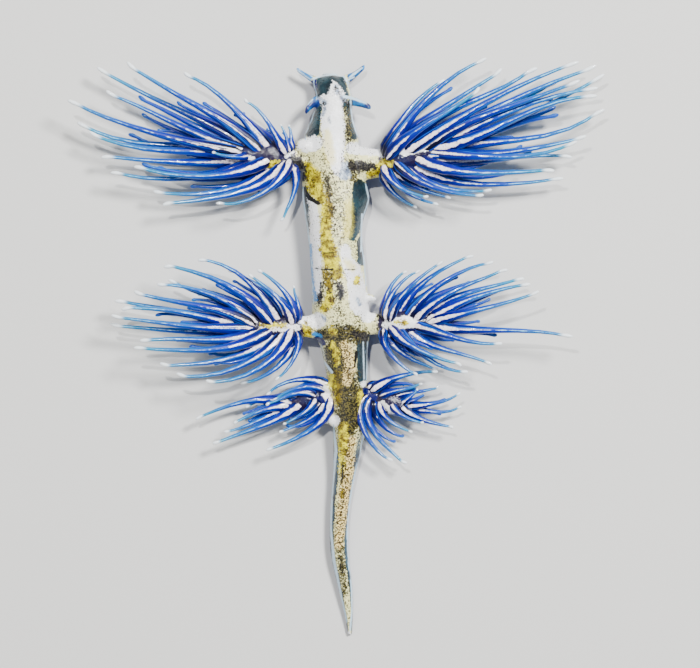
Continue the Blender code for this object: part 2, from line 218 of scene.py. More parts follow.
# %% Sizes of the arms
# Each place is X, Y, Z and half width. Bow is how far the first and the last ceras leave turned
# to the tail, in degrees. The rows of roots start at the share "row" of the way from the wrist to
# the end. The tiers of height scale with lift, and climb raises the last ones.
ARMS = {
    "front_left": {
        "side": -1,
        "path": (
            (-1.3, 13.5, 1.6, 1.25),
            (-3.3, 13.6, 2.0, 0.85),
            (-4.5, 13.7, 2.2, 1.30),
            (-6.6, 13.8, 2.4, 0.75),
        ),
        "bow": (-16.0, 28.0),
        "row": 0.0,
        "lift": 1.0,
        "climb": 0.0,
        "tips": (
            (-3.4, 15.9), (-4.1, 15.9), (-6.6, 17.7), (-8.3, 18.1), (-10.9, 19.6),
            (-14.9, 20.3), (-17.1, 20.0), (-16.4, 18.3), (-19.1, 17.6), (-18.5, 16.1),
            (-17.6, 15.4), (-8.9, 13.9), (-16.8, 13.6), (-16.1, 12.5), (-14.4, 12.9),
            (-13.1, 11.2), (-12.4, 10.2), (-8.6, 10.3), (-4.1, 9.1),
        ),
    },
    "front_right": {
        "side": 1,
        "path": (
            (0.6, 13.2, 1.6, 1.45),
            (3.2, 13.2, 2.0, 1.00),
            (4.5, 13.6, 2.2, 1.40),
            (6.5, 14.1, 2.4, 0.80),
        ),
        "bow": (-18.0, 26.0),
        "row": 0.0,
        "lift": 1.0,
        "climb": 0.0,
        "tips": (
            (7.6, 19.1), (10.5, 20.6), (10.0, 18.5), (11.6, 19.9), (14.1, 19.9),
            (17.0, 20.3), (15.6, 19.0), (18.3, 20.1), (17.1, 19.0), (18.9, 19.5),
            (18.4, 18.5), (18.3, 17.9), (18.9, 17.0), (17.6, 15.1), (16.9, 14.7),
            (16.6, 13.6), (9.5, 13.9), (15.3, 12.6), (16.0, 12.1), (10.9, 11.3),
            (10.3, 10.9), (8.0, 10.7), (7.1, 10.2), (6.4, 10.8), (5.6, 10.0),
        ),
    },
    "middle_left": {
        "side": -1,
        "path": (
            (-0.8, 1.6, 1.6, 1.05),
            (-2.6, 1.6, 2.1, 0.75),
            (-3.6, 1.6, 2.3, 1.10),
            (-5.9, 1.5, 2.5, 0.65),
        ),
        "bow": (-34.0, 28.0),
        "row": 0.1,
        "lift": 0.8,
        "climb": 0.9,
        "tips": (
            (-3.2, 4.5), (-5.7, 5.6), (-6.3, 5.3), (-7.8, 5.6), (-9.9, 6.3),
            (-12.3, 5.8), (-12.0, 4.9), (-12.8, 4.6), (-14.4, 4.1), (-15.8, 3.4),
            (-15.3, 2.8), (-16.0, 2.4), (-16.1, 1.8), (-14.0, 0.6), (-14.4, 0.1),
            (-12.6, -1.0), (-11.4, -1.7), (-9.3, -2.2), (-6.9, -2.4), (-4.4, -2.2),
        ),
    },
    "middle_right": {
        "side": 1,
        "path": (
            (1.0, 1.8, 1.6, 1.00),
            (3.1, 1.8, 2.1, 0.75),
            (4.1, 1.9, 2.3, 1.10),
            (6.2, 1.8, 2.5, 0.60),
        ),
        "bow": (-34.0, 26.0),
        "row": 0.05,
        "lift": 0.8,
        "climb": 0.9,
        "tips": (
            (4.9, 5.5), (5.8, 5.6), (7.4, 6.2), (9.6, 6.6), (11.0, 6.2),
            (12.0, 5.6), (13.2, 5.0), (13.6, 4.6), (14.2, 4.1), (8.9, 3.1),
            (16.6, 0.9), (11.6, 0.4), (10.9, -1.1), (9.2, -1.6), (8.7, -1.2),
            (7.1, -1.4), (5.6, -1.9),
        ),
    },
    "rear_left": {
        "side": -1,
        "path": (
            (0.2, -3.3, 1.1, 1.10),
            (-1.4, -3.4, 1.3, 0.75),
            (-2.1, -3.5, 1.4, 0.95),
            (-3.5, -4.0, 1.4, 0.55),
        ),
        "bow": (-50.0, 30.0),
        "row": -0.4,
        "lift": 0.35,
        "climb": 0.0,
        "tips": (
            (-5.1, -3.3), (-4.6, -3.6), (-5.1, -4.0), (-6.6, -4.1), (-10.1, -5.0),
            (-7.4, -5.3), (-8.1, -5.9), (-8.9, -6.7), (-3.9, -5.3), (-4.2, -5.9),
            (-5.1, -7.2),
        ),
    },
    "rear_right": {
        "side": 1,
        "path": (
            (1.2, -3.2, 1.1, 0.90),
            (2.85, -3.4, 1.3, 0.70),
            (3.6, -3.7, 1.4, 0.95),
            (5.0, -4.1, 1.4, 0.50),
        ),
        "bow": (-20.0, 45.0),
        "row": -0.35,
        "lift": 0.35,
        "climb": 0.0,
        "tips": (
            (3.9, -2.1), (7.1, -1.6), (6.0, -2.5), (7.2, -2.6), (5.7, -2.9),
            (8.7, -3.1), (8.8, -4.1), (8.2, -5.6), (6.1, -5.2), (5.3, -5.9),
            (4.9, -8.1), (3.9, -7.9),
        ),
    },
}
ARM_FLATNESS = 0.6  # height over width


def along(points, t):
    """Point at t, from 0 to 1, on a smooth curve through evenly timed points."""
    times = np.linspace(0.0, 1.0, len(points))
    return smooth_value([(time, *point) for time, point in zip(times, points)], t)


print("cerata in the solids:", sum(len(arm["tips"]) for arm in ARMS.values()))

# %% [markdown]
# Now the arms themselves, and the four feelers on the head: two oral tentacles in front and two
# rhinophores behind them. Their ends are closed with rings that shrink fast, which rounds them.


# %% Arms and feelers
DOME_ANGLES = (35, 60, 80)
ARM_RINGS, ARM_SIDES = 16, 24
HUB_DOME = 0.8  # reach of the rounded end over the half width there
FEELER_RINGS, FEELER_SIDES = 9, 14
FEELER_BREADTH = 1.2  # width over height


def rounded_end(stations, reach):
    """Add three shrinking rings past the last station, so that the end is a dome."""
    x, y, z, wide, high = stations[-1]
    before = stations[-2]
    step = Vector((x - before[0], y - before[1], z - before[2])).normalized()
    for degrees in DOME_ANGLES:
        angle = math.radians(degrees)
        place = Vector((x, y, z)) + step * reach * math.sin(angle)
        stations.append((*place, wide * math.cos(angle), high * math.cos(angle)))
    return stations


def make_arm(name, arm):
    """Stalk and hub of one arm."""
    samples = [along(arm["path"], t) for t in np.linspace(0.0, 1.0, ARM_RINGS)]
    rings = [(x, y, z, half, half * ARM_FLATNESS) for x, y, z, half in samples]
    return limb("arm_" + name, "X", rounded_end(rings, rings[-1][3] * HUB_DOME), ARM_SIDES)


# Root, bend and tip of each feeler, each as X, Y, Z and radius.
FEELERS = {
    "oral_left": ((-1.1, 18.8, 1.1, 0.46), (-2.1, 19.35, 1.2, 0.21), (-2.85, 19.85, 1.25, 0.17)),
    "oral_right": ((0.0, 18.8, 1.1, 0.48), (1.05, 19.4, 1.2, 0.27), (1.8, 20.0, 1.25, 0.20)),
    "rhino_left": ((-0.9, 17.9, 1.5, 0.40), (-1.75, 17.5, 1.95, 0.34), (-2.2, 17.0, 2.2, 0.28)),
    "rhino_right": ((0.3, 17.8, 1.5, 0.38), (1.4, 17.5, 1.95, 0.27), (2.2, 17.2, 2.2, 0.20)),
}


def make_feeler(name, keys):
    """One feeler, a round finger with a rounded tip."""
    samples = [along(keys, t) for t in np.linspace(0.0, 1.0, FEELER_RINGS)]
    rings = [(x, y, z, radius * FEELER_BREADTH, radius) for x, y, z, radius in samples]
    return limb(name, "X", rounded_end(rings, rings[-1][4]), FEELER_SIDES)


flesh = [body]
flesh += [make_arm(name, arm) for name, arm in ARMS.items()]
flesh += [make_feeler(name, keys) for name, keys in FEELERS.items()]
print("limbs:", len(flesh))

# %% [markdown]
# A few small swellings sit on the body: a pointed papilla on the right flank, where the gut and
# the reproductive organs open, and pale knobs where young cerata bud by the arms. Each starts as
# a sphere, stretched and placed.

# %% Papilla and knobs
# Each is X, Y, Z and the three radii, in mm.
SWELLINGS = (
    (2.05, 3.65, 2.0, 0.62, 0.30, 0.30),
    (2.45, 3.55, 2.0, 0.34, 0.16, 0.18),
    (-0.35, -5.05, 1.55, 0.44, 0.46, 0.42),
    (-0.85, -5.10, 1.25, 0.28, 0.26, 0.26),
    (1.75, -2.50, 1.85, 0.30, 0.30, 0.30),
    (-0.75, -2.75, 1.75, 0.42, 0.34, 0.34),
    (-1.05, -3.55, 1.65, 0.34, 0.42, 0.32),
    (-2.30, 14.35, 2.05, 0.80, 0.62, 0.70),
)
for x, y, z, wide, long, high in SWELLINGS:
    bpy.ops.object.select_all(action="DESELECT")
    bpy.ops.mesh.primitive_uv_sphere_add(segments=20, ring_count=12, radius=MM)
    knob = bpy.context.active_object
    knob.scale = (wide, long, high)
    knob.location = (x * MM, y * MM, z * MM)
    bpy.ops.object.transform_apply(location=True, rotation=True, scale=True)
    flesh.append(knob)
print("swellings:", len(SWELLINGS))

# %% [markdown]
# The mouth is low at the front of the head, a small opening with thick lips round it. A torus
# turned to face forwards, and pressed a little flat, gives the lips, and painted shade in the
# opening gives it its depth.

# %% Lips
MOUTH = (-0.57, 19.55, 0.62)
LIPS_RADIUS, LIPS_THICKNESS = 0.30, 0.13
LIPS_SHAPE = (1.3, 0.85, 0.8)  # stretched across, pressed from above and from the front
bpy.ops.object.select_all(action="DESELECT")
bpy.ops.mesh.primitive_torus_add(
    major_segments=24,
    minor_segments=10,
    major_radius=LIPS_RADIUS * MM,
    minor_radius=LIPS_THICKNESS * MM,
)
lips = bpy.context.active_object
lips.scale = LIPS_SHAPE
lips.rotation_euler = (math.radians(90), 0.0, 0.0)
lips.location = (MOUTH[0] * MM, MOUTH[1] * MM, MOUTH[2] * MM)
bpy.ops.object.transform_apply(location=True, rotation=True, scale=True)
flesh.append(lips)
print("parts to melt together:", len(flesh))

# %% [markdown]
# A real skin has no seams, so all these forms have to become one. A voxel remesh melts them
# together, and smoothing then rounds the joints into soft fillets. Before that the round belly is
# cut flat at the floor, which makes the creeping foot.

# %% One skin
VOXEL = 0.09 * MM
SMOOTHING = {"factor": 0.6, "iterations": 9}
skin = join(flesh, "skin")
pick(skin)
bpy.ops.object.mode_set(mode="EDIT")
bpy.ops.mesh.select_all(action="SELECT")
bpy.ops.mesh.bisect(
    plane_co=(0.0, 0.0, 0.0), plane_no=(0.0, 0.0, -1.0), clear_outer=True, use_fill=True
)
bpy.ops.object.mode_set(mode="OBJECT")
apply_modifier(skin, "REMESH", mode="VOXEL", voxel_size=VOXEL, use_smooth_shade=True)
apply_modifier(skin, "SMOOTH", **SMOOTHING)
# The remesh leaves the foot a little uneven, so every point below the floor is lifted to it.
for point in skin.data.vertices:
    point.co.z = max(point.co.z, 0.0)
print("skin faces:", len(skin.data.polygons))

# %% [markdown]
# Markings on wet skin have soft, wandering edges. We lay each colour down as a set of brush
# strokes, seen from above, and store in every vertex how deep inside a stroke it lies, in mm. The
# material will later shift that depth with noise, so the edge wanders at any resolution.

# %% Brush strokes
# Each point of a stroke is X, Y and the brush's half width, in mm. Clear is bare flesh with no
# glands in it, pepper is where dark specks crowd, and line is a painted highlight along the edge
# of the skin.
STROKES = {
    "clear": (
        ((-0.5, 19.57, 0.93), (-0.5, 17.93, 1.29)),
        ((-1.57, 17.43, 0.5), (-1.79, 15.36, 0.5)),
        ((0.86, 17.43, 0.36), (1.14, 15.21, 0.36)),
        ((-2.29, 11.36, 0.21), (-2.21, 9.07, 0.29), (-2.07, 7.07, 0.21)),
        ((1.5, 11.64, 0.43), (1.43, 10.5, 0.5), (1.36, 8.79, 0.43), (1.0, 7.93, 0.29)),
        ((1.64, 7.79, 0.25), (1.64, 6.21, 0.29)),
        ((2.0, 11.5, 0.29), (2.07, 10.36, 0.29), (1.86, 9.07, 0.21)),
        ((1.71, 0.57, 0.43), (1.71, -2.14, 0.36)),
    ),
    "olive": (
        ((-1.14, 1.07, 0.5), (0.5, 1.07, 0.71), (1.71, 1.0, 0.57)),
        ((-0.14, -0.07, 0.86), (0.29, -1.64, 1.0), (0.57, -3.29, 1.07)),
        ((1.0, -3.14, 0.93), (0.86, -4.36, 1.0), (0.64, -5.57, 0.79)),
        ((0.57, -5.79, 0.64), (0.64, -6.64, 0.43)),
        ((-0.14, -12.57, 0.14), (0.14, -15.07, 0.25), (0.5, -17.21, 0.18)),
        ((0.61, 17.21, 0.14), (0.75, 16.36, 0.21), (0.75, 15.5, 0.29), (0.68, 14.79, 0.29)),
        ((0.86, 13.14, 0.29), (1.0, 12.07, 0.29)),
        ((-0.86, 12.21, 0.21), (-0.57, 10.93, 0.29)),
    ),
    "cream": (
        ((0.5, 0.21, 0.36), (0.93, -0.79, 0.43), (0.64, -2.29, 0.36)),
        ((0.93, -6.5, 0.36), (0.64, -9.0, 0.43), (0.29, -11.5, 0.36), (0.07, -14.0, 0.29)),
    ),
    "silver": (
        ((-1.07, 17.86, 0.21), (-1.0, 17.57, 0.29)),
        (
            (-0.36, 19.04, 0.09), (-0.29, 18.71, 0.27), (-0.14, 18.29, 0.46), (-0.14, 17.93, 0.64),
            (-0.43, 17.29, 0.71), (-0.36, 15.79, 0.86), (-0.21, 14.07, 0.71), (0.07, 12.64, 0.43),
        ),
        ((-2.79, 14.29, 0.14), (-2.29, 14.43, 0.5), (-1.64, 14.57, 0.57)),
        ((1.0, 14.21, 0.43), (2.0, 14.21, 0.43), (3.29, 14.0, 0.43)),
        (
            (-1.86, 10.79, 0.29), (-1.64, 8.86, 0.39), (-1.57, 7.07, 0.43), (-1.57, 5.21, 0.43),
            (-1.43, 4.07, 0.29),
        ),
        (
            (0.5, 7.07, 0.36), (0.64, 6.21, 0.43), (1.07, 5.57, 0.57), (1.36, 4.21, 0.64),
            (1.5, 3.07, 0.64),
        ),
        ((-2.57, 2.07, 0.36), (-1.43, 2.0, 0.57)),
        ((1.64, 3.36, 0.57), (2.14, 2.36, 0.5)),
        ((1.86, 3.57, 0.29), (2.57, 3.5, 0.21)),
        ((1.79, -2.5, 0.21), (1.86, -2.5, 0.21)),
        ((-0.29, -5.14, 0.39), (-0.21, -5.07, 0.36)),
        ((-0.86, -5.14, 0.18), (-0.79, -5.07, 0.18)),
        ((-1.0, -2.93, 0.29), (-0.57, -3.57, 0.32)),
        ((0.79, -20.29, 0.17), (0.79, -20.36, 0.17)),
        ((-5.14, 12.64, 0.21), (-4.43, 12.36, 0.25), (-3.57, 12.43, 0.21)),
        ((-6.86, 13.57, 0.25), (-5.86, 13.29, 0.25)),
        ((4.71, 14.0, 0.36), (6.36, 14.43, 0.36)),
        ((-5.36, 1.5, 0.21), (-2.93, 1.5, 0.29)),
        ((3.57, 1.71, 0.43), (4.79, 1.93, 0.43), (6.29, 1.64, 0.29)),
        ((3.21, -3.86, 0.18), (3.86, -4.57, 0.18)),
        ((-3.64, 13.64, 0.09), (-3.21, 14.0, 0.1)),
        ((-3.36, 13.79, 0.07), (-3.0, 13.5, 0.1)),
    ),
    "lemon": (
        ((-0.79, 15.36, 0.21), (-0.64, 14.36, 0.36), (-0.5, 13.36, 0.36)),
        ((0.79, 10.29, 0.29), (0.64, 8.14, 0.36)),
        ((0.5, 6.21, 0.21), (1.0, 5.79, 0.29)),
    ),
    "lilac": (
        ((0.5, 13.0, 0.29), (0.5, 12.36, 0.43)),
        ((-0.14, 18.64, 0.14), (0.0, 18.21, 0.19)),
        ((-1.29, 17.79, 0.14), (-0.93, 17.43, 0.2)),
        ((0.21, 18.0, 0.14), (0.43, 17.64, 0.17)),
        ((-0.93, 17.07, 0.13), (-1.07, 16.64, 0.1)),
        ((-0.64, 16.5, 0.06), (-0.57, 16.07, 0.06)),
        ((-1.14, 2.36, 0.11), (-0.86, 2.07, 0.11)),
        ((1.36, 3.57, 0.14), (1.57, 3.14, 0.14)),
    ),
    "gold": (
        ((-2.21, 13.07, 0.29), (-1.79, 12.21, 0.64), (-1.5, 11.21, 0.57), (-1.14, 10.5, 0.29)),
        ((2.21, 12.36, 0.29), (2.93, 12.71, 0.5), (3.57, 13.21, 0.43)),
        (
            (-0.86, 10.07, 0.36), (-0.79, 9.5, 0.43), (-0.86, 8.07, 0.43), (-0.71, 7.07, 0.57),
            (-0.36, 6.21, 0.57), (0.0, 5.21, 0.36),
        ),
        ((-0.57, 4.36, 0.25), (-0.57, 3.5, 0.36), (-0.93, 2.93, 0.36)),
        ((1.29, 4.71, 0.18), (1.43, 5.07, 0.18)),
        ((-2.29, 1.71, 0.29), (-2.14, 1.14, 0.36), (-2.0, 0.79, 0.21)),
        ((-0.43, 1.36, 0.21), (-0.29, 1.21, 0.21)),
        ((-0.36, 0.29, 0.21), (-0.14, -0.21, 0.25), (-0.07, -1.0, 0.21)),
        ((-0.5, -2.0, 0.29), (-0.21, -2.79, 0.29), (-0.21, -3.79, 0.21)),
        ((1.71, -3.21, 0.29), (1.86, -4.36, 0.29), (1.86, -4.93, 0.21)),
        ((0.36, -5.5, 0.29), (0.43, -6.5, 0.36), (0.36, -7.43, 0.29), (0.29, -8.64, 0.21)),
        ((-5.71, 13.0, 0.21), (-4.79, 13.07, 0.29), (-3.93, 13.07, 0.21)),
        ((4.5, 14.71, 0.21), (5.29, 15.43, 0.29)),
        ((-5.43, 1.71, 0.18), (-3.79, 1.64, 0.18)),
        ((4.07, 1.93, 0.14), (4.71, 1.86, 0.18)),
        ((-3.36, 12.86, 0.18), (-2.93, 12.57, 0.18)),
    ),
    "ochre": (
        ((-0.64, 10.93, 0.18), (-0.5, 10.21, 0.29), (-0.57, 9.36, 0.29)),
        ((0.0, -1.64, 0.18), (0.07, -2.93, 0.21), (0.0, -3.64, 0.18)),
        ((-1.14, 5.64, 0.11), (-0.36, 5.64, 0.14)),
        ((-0.79, 5.21, 0.29), (-0.64, 4.64, 0.29)),
        ((0.43, -7.57, 0.09), (0.29, -9.0, 0.13), (0.36, -10.79, 0.09)),
    ),
    "grey_marks_and_shade": (
        # The first two strokes are painted shade under the roots of the front arms; the rest are dark
        # marks of the skin.
        ((-2.64, 13.64, 0.21), (-3.0, 13.29, 0.5), (-2.71, 12.64, 0.5), (-2.43, 12.07, 0.21)),
        ((1.07, 12.93, 0.39), (1.71, 12.93, 0.43), (2.5, 12.93, 0.25)),
        ((-1.21, 4.64, 0.11), (-1.21, 3.64, 0.21), (-1.29, 3.07, 0.07)),
        ((-0.21, 18.57, 0.05), (-0.07, 18.36, 0.07)),
        ((0.07, 18.21, 0.04), (0.14, 18.0, 0.04)),
        ((-1.36, 17.93, 0.06), (-1.29, 17.79, 0.06)),
        ((-1.14, 17.43, 0.06), (-0.93, 17.36, 0.06)),
        ((0.14, 4.43, 0.36), (0.21, 3.86, 0.21), (0.21, 3.29, 0.06)),
        ((0.57, 17.57, 0.17), (0.86, 17.43, 0.19)),
        ((1.21, 1.07, 0.25), (1.86, 0.86, 0.36)),
    ),
    "dark": (
        ((-2.5, 11.5, 0.07), (-2.0, 10.71, 0.16), (-1.36, 10.29, 0.13)),
        ((-1.07, 6.82, 0.04), (-0.36, 6.82, 0.06)),
        ((-1.64, 5.75, 0.04), (-1.14, 5.64, 0.06), (-0.36, 5.64, 0.09)),
        ((0.5, 5.64, 0.04), (1.21, 5.64, 0.04)),
        ((1.29, -0.21, 0.13), (1.21, -1.21, 0.06)),
        ((0.36, -7.79, 0.05), (0.29, -9.36, 0.07)),
    ),
    "sky": (
        ((-1.93, 7.43, 0.09), (-1.86, 5.29, 0.13), (-1.64, 3.5, 0.13)),
        ((-1.71, 1.07, 0.14), (-1.36, 0.86, 0.21)),
        ((1.79, 19.93, 0.16), (2.0, 20.14, 0.14)),
        ((-2.93, 19.86, 0.11), (-3.0, 19.93, 0.11)),
    ),
    "blue": (
        ((-1.57, 0.79, 0.14), (-1.07, 0.43, 0.25)),
        ((-1.71, 19.0, 0.21), (-1.68, 18.5, 0.21)),
        # This stroke is a painted shadow on the lower side of the root of the right oral tentacle; the
        # other blue strokes are the skin's own deep blue.
        ((0.86, 18.93, 0.11), (1.14, 19.21, 0.06)),
        ((1.29, 19.07, 0.14), (1.0, 18.64, 0.18)),
        ((-2.29, 17.0, 0.23), (-2.36, 16.86, 0.23)),
        ((2.07, 17.43, 0.11), (2.43, 17.21, 0.14)),
        ((-1.29, -3.64, 0.29), (-0.86, -4.36, 0.29)),
        ((2.0, -2.93, 0.25), (2.5, -3.43, 0.32)),
    ),
    "pepper": (
        ((-0.86, 18.0, 0.21), (-1.14, 16.93, 0.14)),
        ((0.29, 18.5, 0.25), (0.57, 17.07, 0.36), (0.64, 14.93, 0.36), (0.43, 13.36, 0.43)),
        ((-1.29, 16.93, 0.21), (-1.36, 15.5, 0.29)),
        ((-1.14, 15.07, 0.29), (-1.14, 13.64, 0.43), (-0.86, 12.36, 0.43), (-0.5, 10.93, 0.5)),
        ((1.14, 14.36, 0.14), (2.86, 14.21, 0.21)),
        ((-0.14, 12.43, 0.5), (0.0, 10.64, 0.64), (0.07, 8.86, 0.64), (0.21, 7.64, 0.43)),
        ((-1.86, 12.64, 0.29), (-1.64, 11.36, 0.29)),
        ((2.43, 12.79, 0.29), (3.29, 12.93, 0.21)),
        ((-2.07, 10.64, 0.11), (-1.93, 7.79, 0.11)),
        ((-0.57, 4.36, 0.43), (-0.21, 2.93, 0.64), (0.14, 1.71, 0.71)),
        ((1.71, 2.36, 0.36), (1.5, 1.5, 0.29)),
        ((0.5, -0.07, 0.5), (0.79, -1.79, 0.5)),
        (
            (0.71, -6.5, 0.36), (0.5, -9.36, 0.36), (0.21, -12.21, 0.32), (0.29, -15.07, 0.29),
            (0.57, -17.21, 0.14),
        ),
    ),
    "highlight_line": (
        ((-1.0, 19.61, 0.06), (-0.14, 19.61, 0.06)),
        ((-1.93, 19.14, 0.04), (-2.43, 19.5, 0.04), (-2.93, 19.86, 0.05)),
        ((-1.71, 19.29, 0.03), (-2.21, 19.64, 0.03), (-2.71, 19.93, 0.04)),
        ((0.79, 19.29, 0.04), (1.14, 19.57, 0.09), (1.71, 20.0, 0.06)),
        ((0.71, 19.14, 0.04), (1.14, 19.32, 0.06)),
        ((0.43, 17.93, 0.11), (1.0, 17.82, 0.1), (1.57, 17.61, 0.09), (2.0, 17.43, 0.05)),
        ((-1.79, 17.71, 0.05), (-2.14, 17.36, 0.06)),
        (
            (-1.79, 19.21, 0.06), (-1.21, 19.43, 0.06), (-0.36, 19.54, 0.06), (0.36, 19.43, 0.06),
            (0.86, 18.79, 0.06), (0.96, 18.0, 0.06),
        ),
        ((-1.93, 16.93, 0.04), (-2.14, 15.64, 0.04), (-2.64, 14.86, 0.04)),
        (
            (0.89, 17.79, 0.06), (0.96, 16.93, 0.06), (1.07, 16.21, 0.07), (1.29, 15.5, 0.07),
            (1.64, 14.71, 0.06),
        ),
        ((1.71, 9.57, 0.06), (1.71, 8.14, 0.09), (1.64, 6.93, 0.05)),
        ((2.0, 11.57, 0.05), (2.21, 10.64, 0.06), (2.07, 9.71, 0.05)),
        ((1.86, 6.64, 0.05), (2.0, 4.5, 0.05)),
        (
            (-2.5, 11.14, 0.06), (-2.43, 9.93, 0.06), (-2.14, 8.5, 0.04), (-2.07, 6.21, 0.06),
            (-1.86, 3.86, 0.06),
        ),
        ((1.79, 0.5, 0.04), (1.86, -2.14, 0.04)),
        ((2.14, 0.5, 0.06), (2.07, -1.79, 0.06)),
        ((-1.79, 0.79, 0.05), (-1.07, -0.79, 0.06), (-0.43, -1.64, 0.09)),
        (
            (-0.29, -5.79, 0.07), (-0.14, -7.21, 0.1), (-0.29, -8.64, 0.1), (-0.5, -10.79, 0.09),
            (-0.5, -12.93, 0.07), (-0.29, -15.07, 0.1), (0.14, -17.21, 0.09), (0.57, -19.5, 0.06),
        ),
        (
            (1.86, -5.14, 0.04), (1.57, -7.64, 0.04), (1.0, -10.07, 0.05), (0.71, -12.21, 0.05),
            (0.71, -14.36, 0.06), (1.0, -16.5, 0.07), (1.0, -18.64, 0.06), (0.86, -20.07, 0.06),
        ),
    ),
}
print("kinds of stroke:", len(STROKES))

# %% [markdown]
# A stroke is a chain of round dabs, so how deep a point lies in it follows from its distance to
# the chain. Arrays do that for every vertex at once, which painting by hand could not repeat.
# Each result is kept as an attribute of the mesh, for the material to read.

# %% Depth in a stroke
FAR_OUTSIDE = -5.0  # mm
TINY = 1e-9  # keeps a stroke of no length from dividing by zero


def stroke_depth(points, strokes):
    """How deep each point lies inside the nearest stroke, in mm, and below zero outside."""
    deepest = np.full(len(points), FAR_OUTSIDE)
    for stroke in strokes:
        for start, end in zip(stroke[:-1], stroke[1:]):
            origin = np.array(start[:2])
            step = np.array(end[:2]) - origin
            t = np.clip((points - origin) @ step / max(step @ step, TINY), 0.0, 1.0)
            gap = np.linalg.norm(points - origin - t[:, None] * step, axis=1)
            deepest = np.maximum(deepest, start[2] + (end[2] - start[2]) * t - gap)
    return deepest


def store(piece, name, values):
    """Keep one number in every vertex."""
    layer = piece.data.attributes.new(name, "FLOAT", "POINT")
    layer.data.foreach_set("value", np.ascontiguousarray(values, dtype=np.float32))


def read_rows(piece, key):
    """Read three numbers of every vertex, one row for each."""
    values = np.empty(len(piece.data.vertices) * 3)
    piece.data.vertices.foreach_get(key, values)
    return values.reshape(-1, 3)


spots = read_rows(skin, "co") / MM
seen = spots[:, :2]
for name, strokes in STROKES.items():
    store(skin, name, stroke_depth(seen, strokes))
print("skin vertices:", len(spots))

# %% [markdown]
# Some finishes follow the form and not a brush: the clear margins of the tail, the painted
# highlight along the edge, the dusky hubs, the blue feelers, the striped foot and the painted
# shade in the mouth. For those we measure where each vertex lies: how far across the body, how
# far in from its edge, and which way it faces.
# each vertex lies: how far across the body, how far in from its edge, and which way it faces.

# %% Places on the body
ROWS_PER_MM = 20
STALK_MARGIN, HUB_MARGIN, FEELER_MARGIN = 0.2, 0.25, 0.12  # mm past the form itself
BACK_EDGE = 0.4  # the specks thin out over this much at the edge, in mm
TAIL_START, TAIL_FADE = -5.5, 2.0  # the margins turn clear from this Y on, over this length
LEVEL, STEEPNESS = 0.5, 1.2  # an upright skin counts as half under, and this sets how fast it turns
MOUTH_WIDTH, MOUTH_HEIGHT = 0.24, 0.12  # half of each
MOUTH_BACK = 19.2  # nothing behind this Y belongs to the mouth


def arm_strokes(first, last, margin):
    """A stroke along each arm, between two of the places in its path."""
    ends = (first, last)
    return [[(*arm["path"][k][:2], arm["path"][k][3] + margin) for k in ends] for arm in ARMS.values()]


rows = round((SNOUT - TAIL_TIP) * ROWS_PER_MM)
body_lines = np.array([smooth_value(BODY, y) for y in np.linspace(TAIL_TIP, SNOUT, rows + 1)])
row = np.clip(np.rint((spots[:, 1] - TAIL_TIP) * ROWS_PER_MM).astype(int), 0, rows)
middle, half_width = body_lines[row, 0], body_lines[row, 1]
from_edge = half_width - np.abs(spots[:, 0] - middle)
in_stalk = stroke_depth(seen, arm_strokes(0, 1, STALK_MARGIN))
facing = read_rows(skin, "normal")[:, 2]
feelers = [[(x, y, radius + FEELER_MARGIN) for x, y, _, radius in keys[1:]] for keys in FEELERS.values()]
from_mouth = np.hypot(
    (spots[:, 0] - MOUTH[0]) / MOUTH_WIDTH,
    (spots[:, 2] - MOUTH[2]) / MOUTH_HEIGHT,
)
store(skin, "across", (spots[:, 0] - middle) / half_width)
store(skin, "rim", np.where(in_stalk < 0, from_edge, 1.0))
store(skin, "back", np.clip(np.maximum(from_edge, in_stalk) / BACK_EDGE, 0.0, 1.0))
store(skin, "tail", np.clip((TAIL_START - spots[:, 1]) / TAIL_FADE, 0.0, 1.0))
store(skin, "under", np.clip(LEVEL - facing * STEEPNESS, 0.0, 1.0))
store(skin, "hub", stroke_depth(seen, arm_strokes(2, 3, HUB_MARGIN)))
store(skin, "feeler", stroke_depth(seen, feelers))
store(skin, "mouth", np.where(spots[:, 1] > MOUTH_BACK, 1.0 - from_mouth, -1.0))
print("attributes of the skin:", len(skin.data.attributes))

# %% [markdown]
# Materials are trees of nodes. To keep them short, each new material comes with one function
# that adds a node to its tree, sets its options and sets or links its inputs. Colours are written
# as they look on a screen and turned into the linear values that the renderer wants.

# %% Helpers for materials
SMOOTH = {"interpolation_type": "SMOOTHSTEP"}  # for a range that climbs softly from 0 to 1
COLOUR = {"data_type": "RGBA", "out": 2}  # for a mix of colours, whose inputs are 0, 6 and 7


def paint(code):
    """Linear colour of a screen colour written as #rrggbb."""
    parts = [int(code[k : k + 2], 16) / 255 for k in (1, 3, 5)]
    return (*[p / 12.92 if p <= 0.04045 else ((p + 0.055) / 1.055) ** 2.4 for p in parts], 1.0)


def new_material(name):
    """Material with an empty tree, and the function that adds a node to that tree."""
    material = bpy.data.materials.new(name)
    material.use_nodes = True
    tree = material.node_tree
    tree.nodes.clear()

    def add(kind, inputs=(), out=0, **options):
        """Add a node, its inputs given in order or by key, and return one of its outputs."""
        node = tree.nodes.new("ShaderNode" + kind)
        for key, value in options.items():
            setattr(node, key, value)
        for key, value in inputs.items() if isinstance(inputs, dict) else enumerate(inputs):
            if isinstance(value, bpy.types.NodeSocket):
                tree.links.new(value, node.inputs[key])
            else:
                node.inputs[key].default_value = value
        return node.outputs[out] if node.outputs else node

    return material, add


print("white as linear:", paint("#ffffff"))

# %% [markdown]
# The skin of the back is half clear, with silvery and golden glands under it, in grains and
# smears from an eighth of a mm to over a mm wide. Noise can give all of them. We make each kind
# of grain once, at its real size, and use it in several colours.

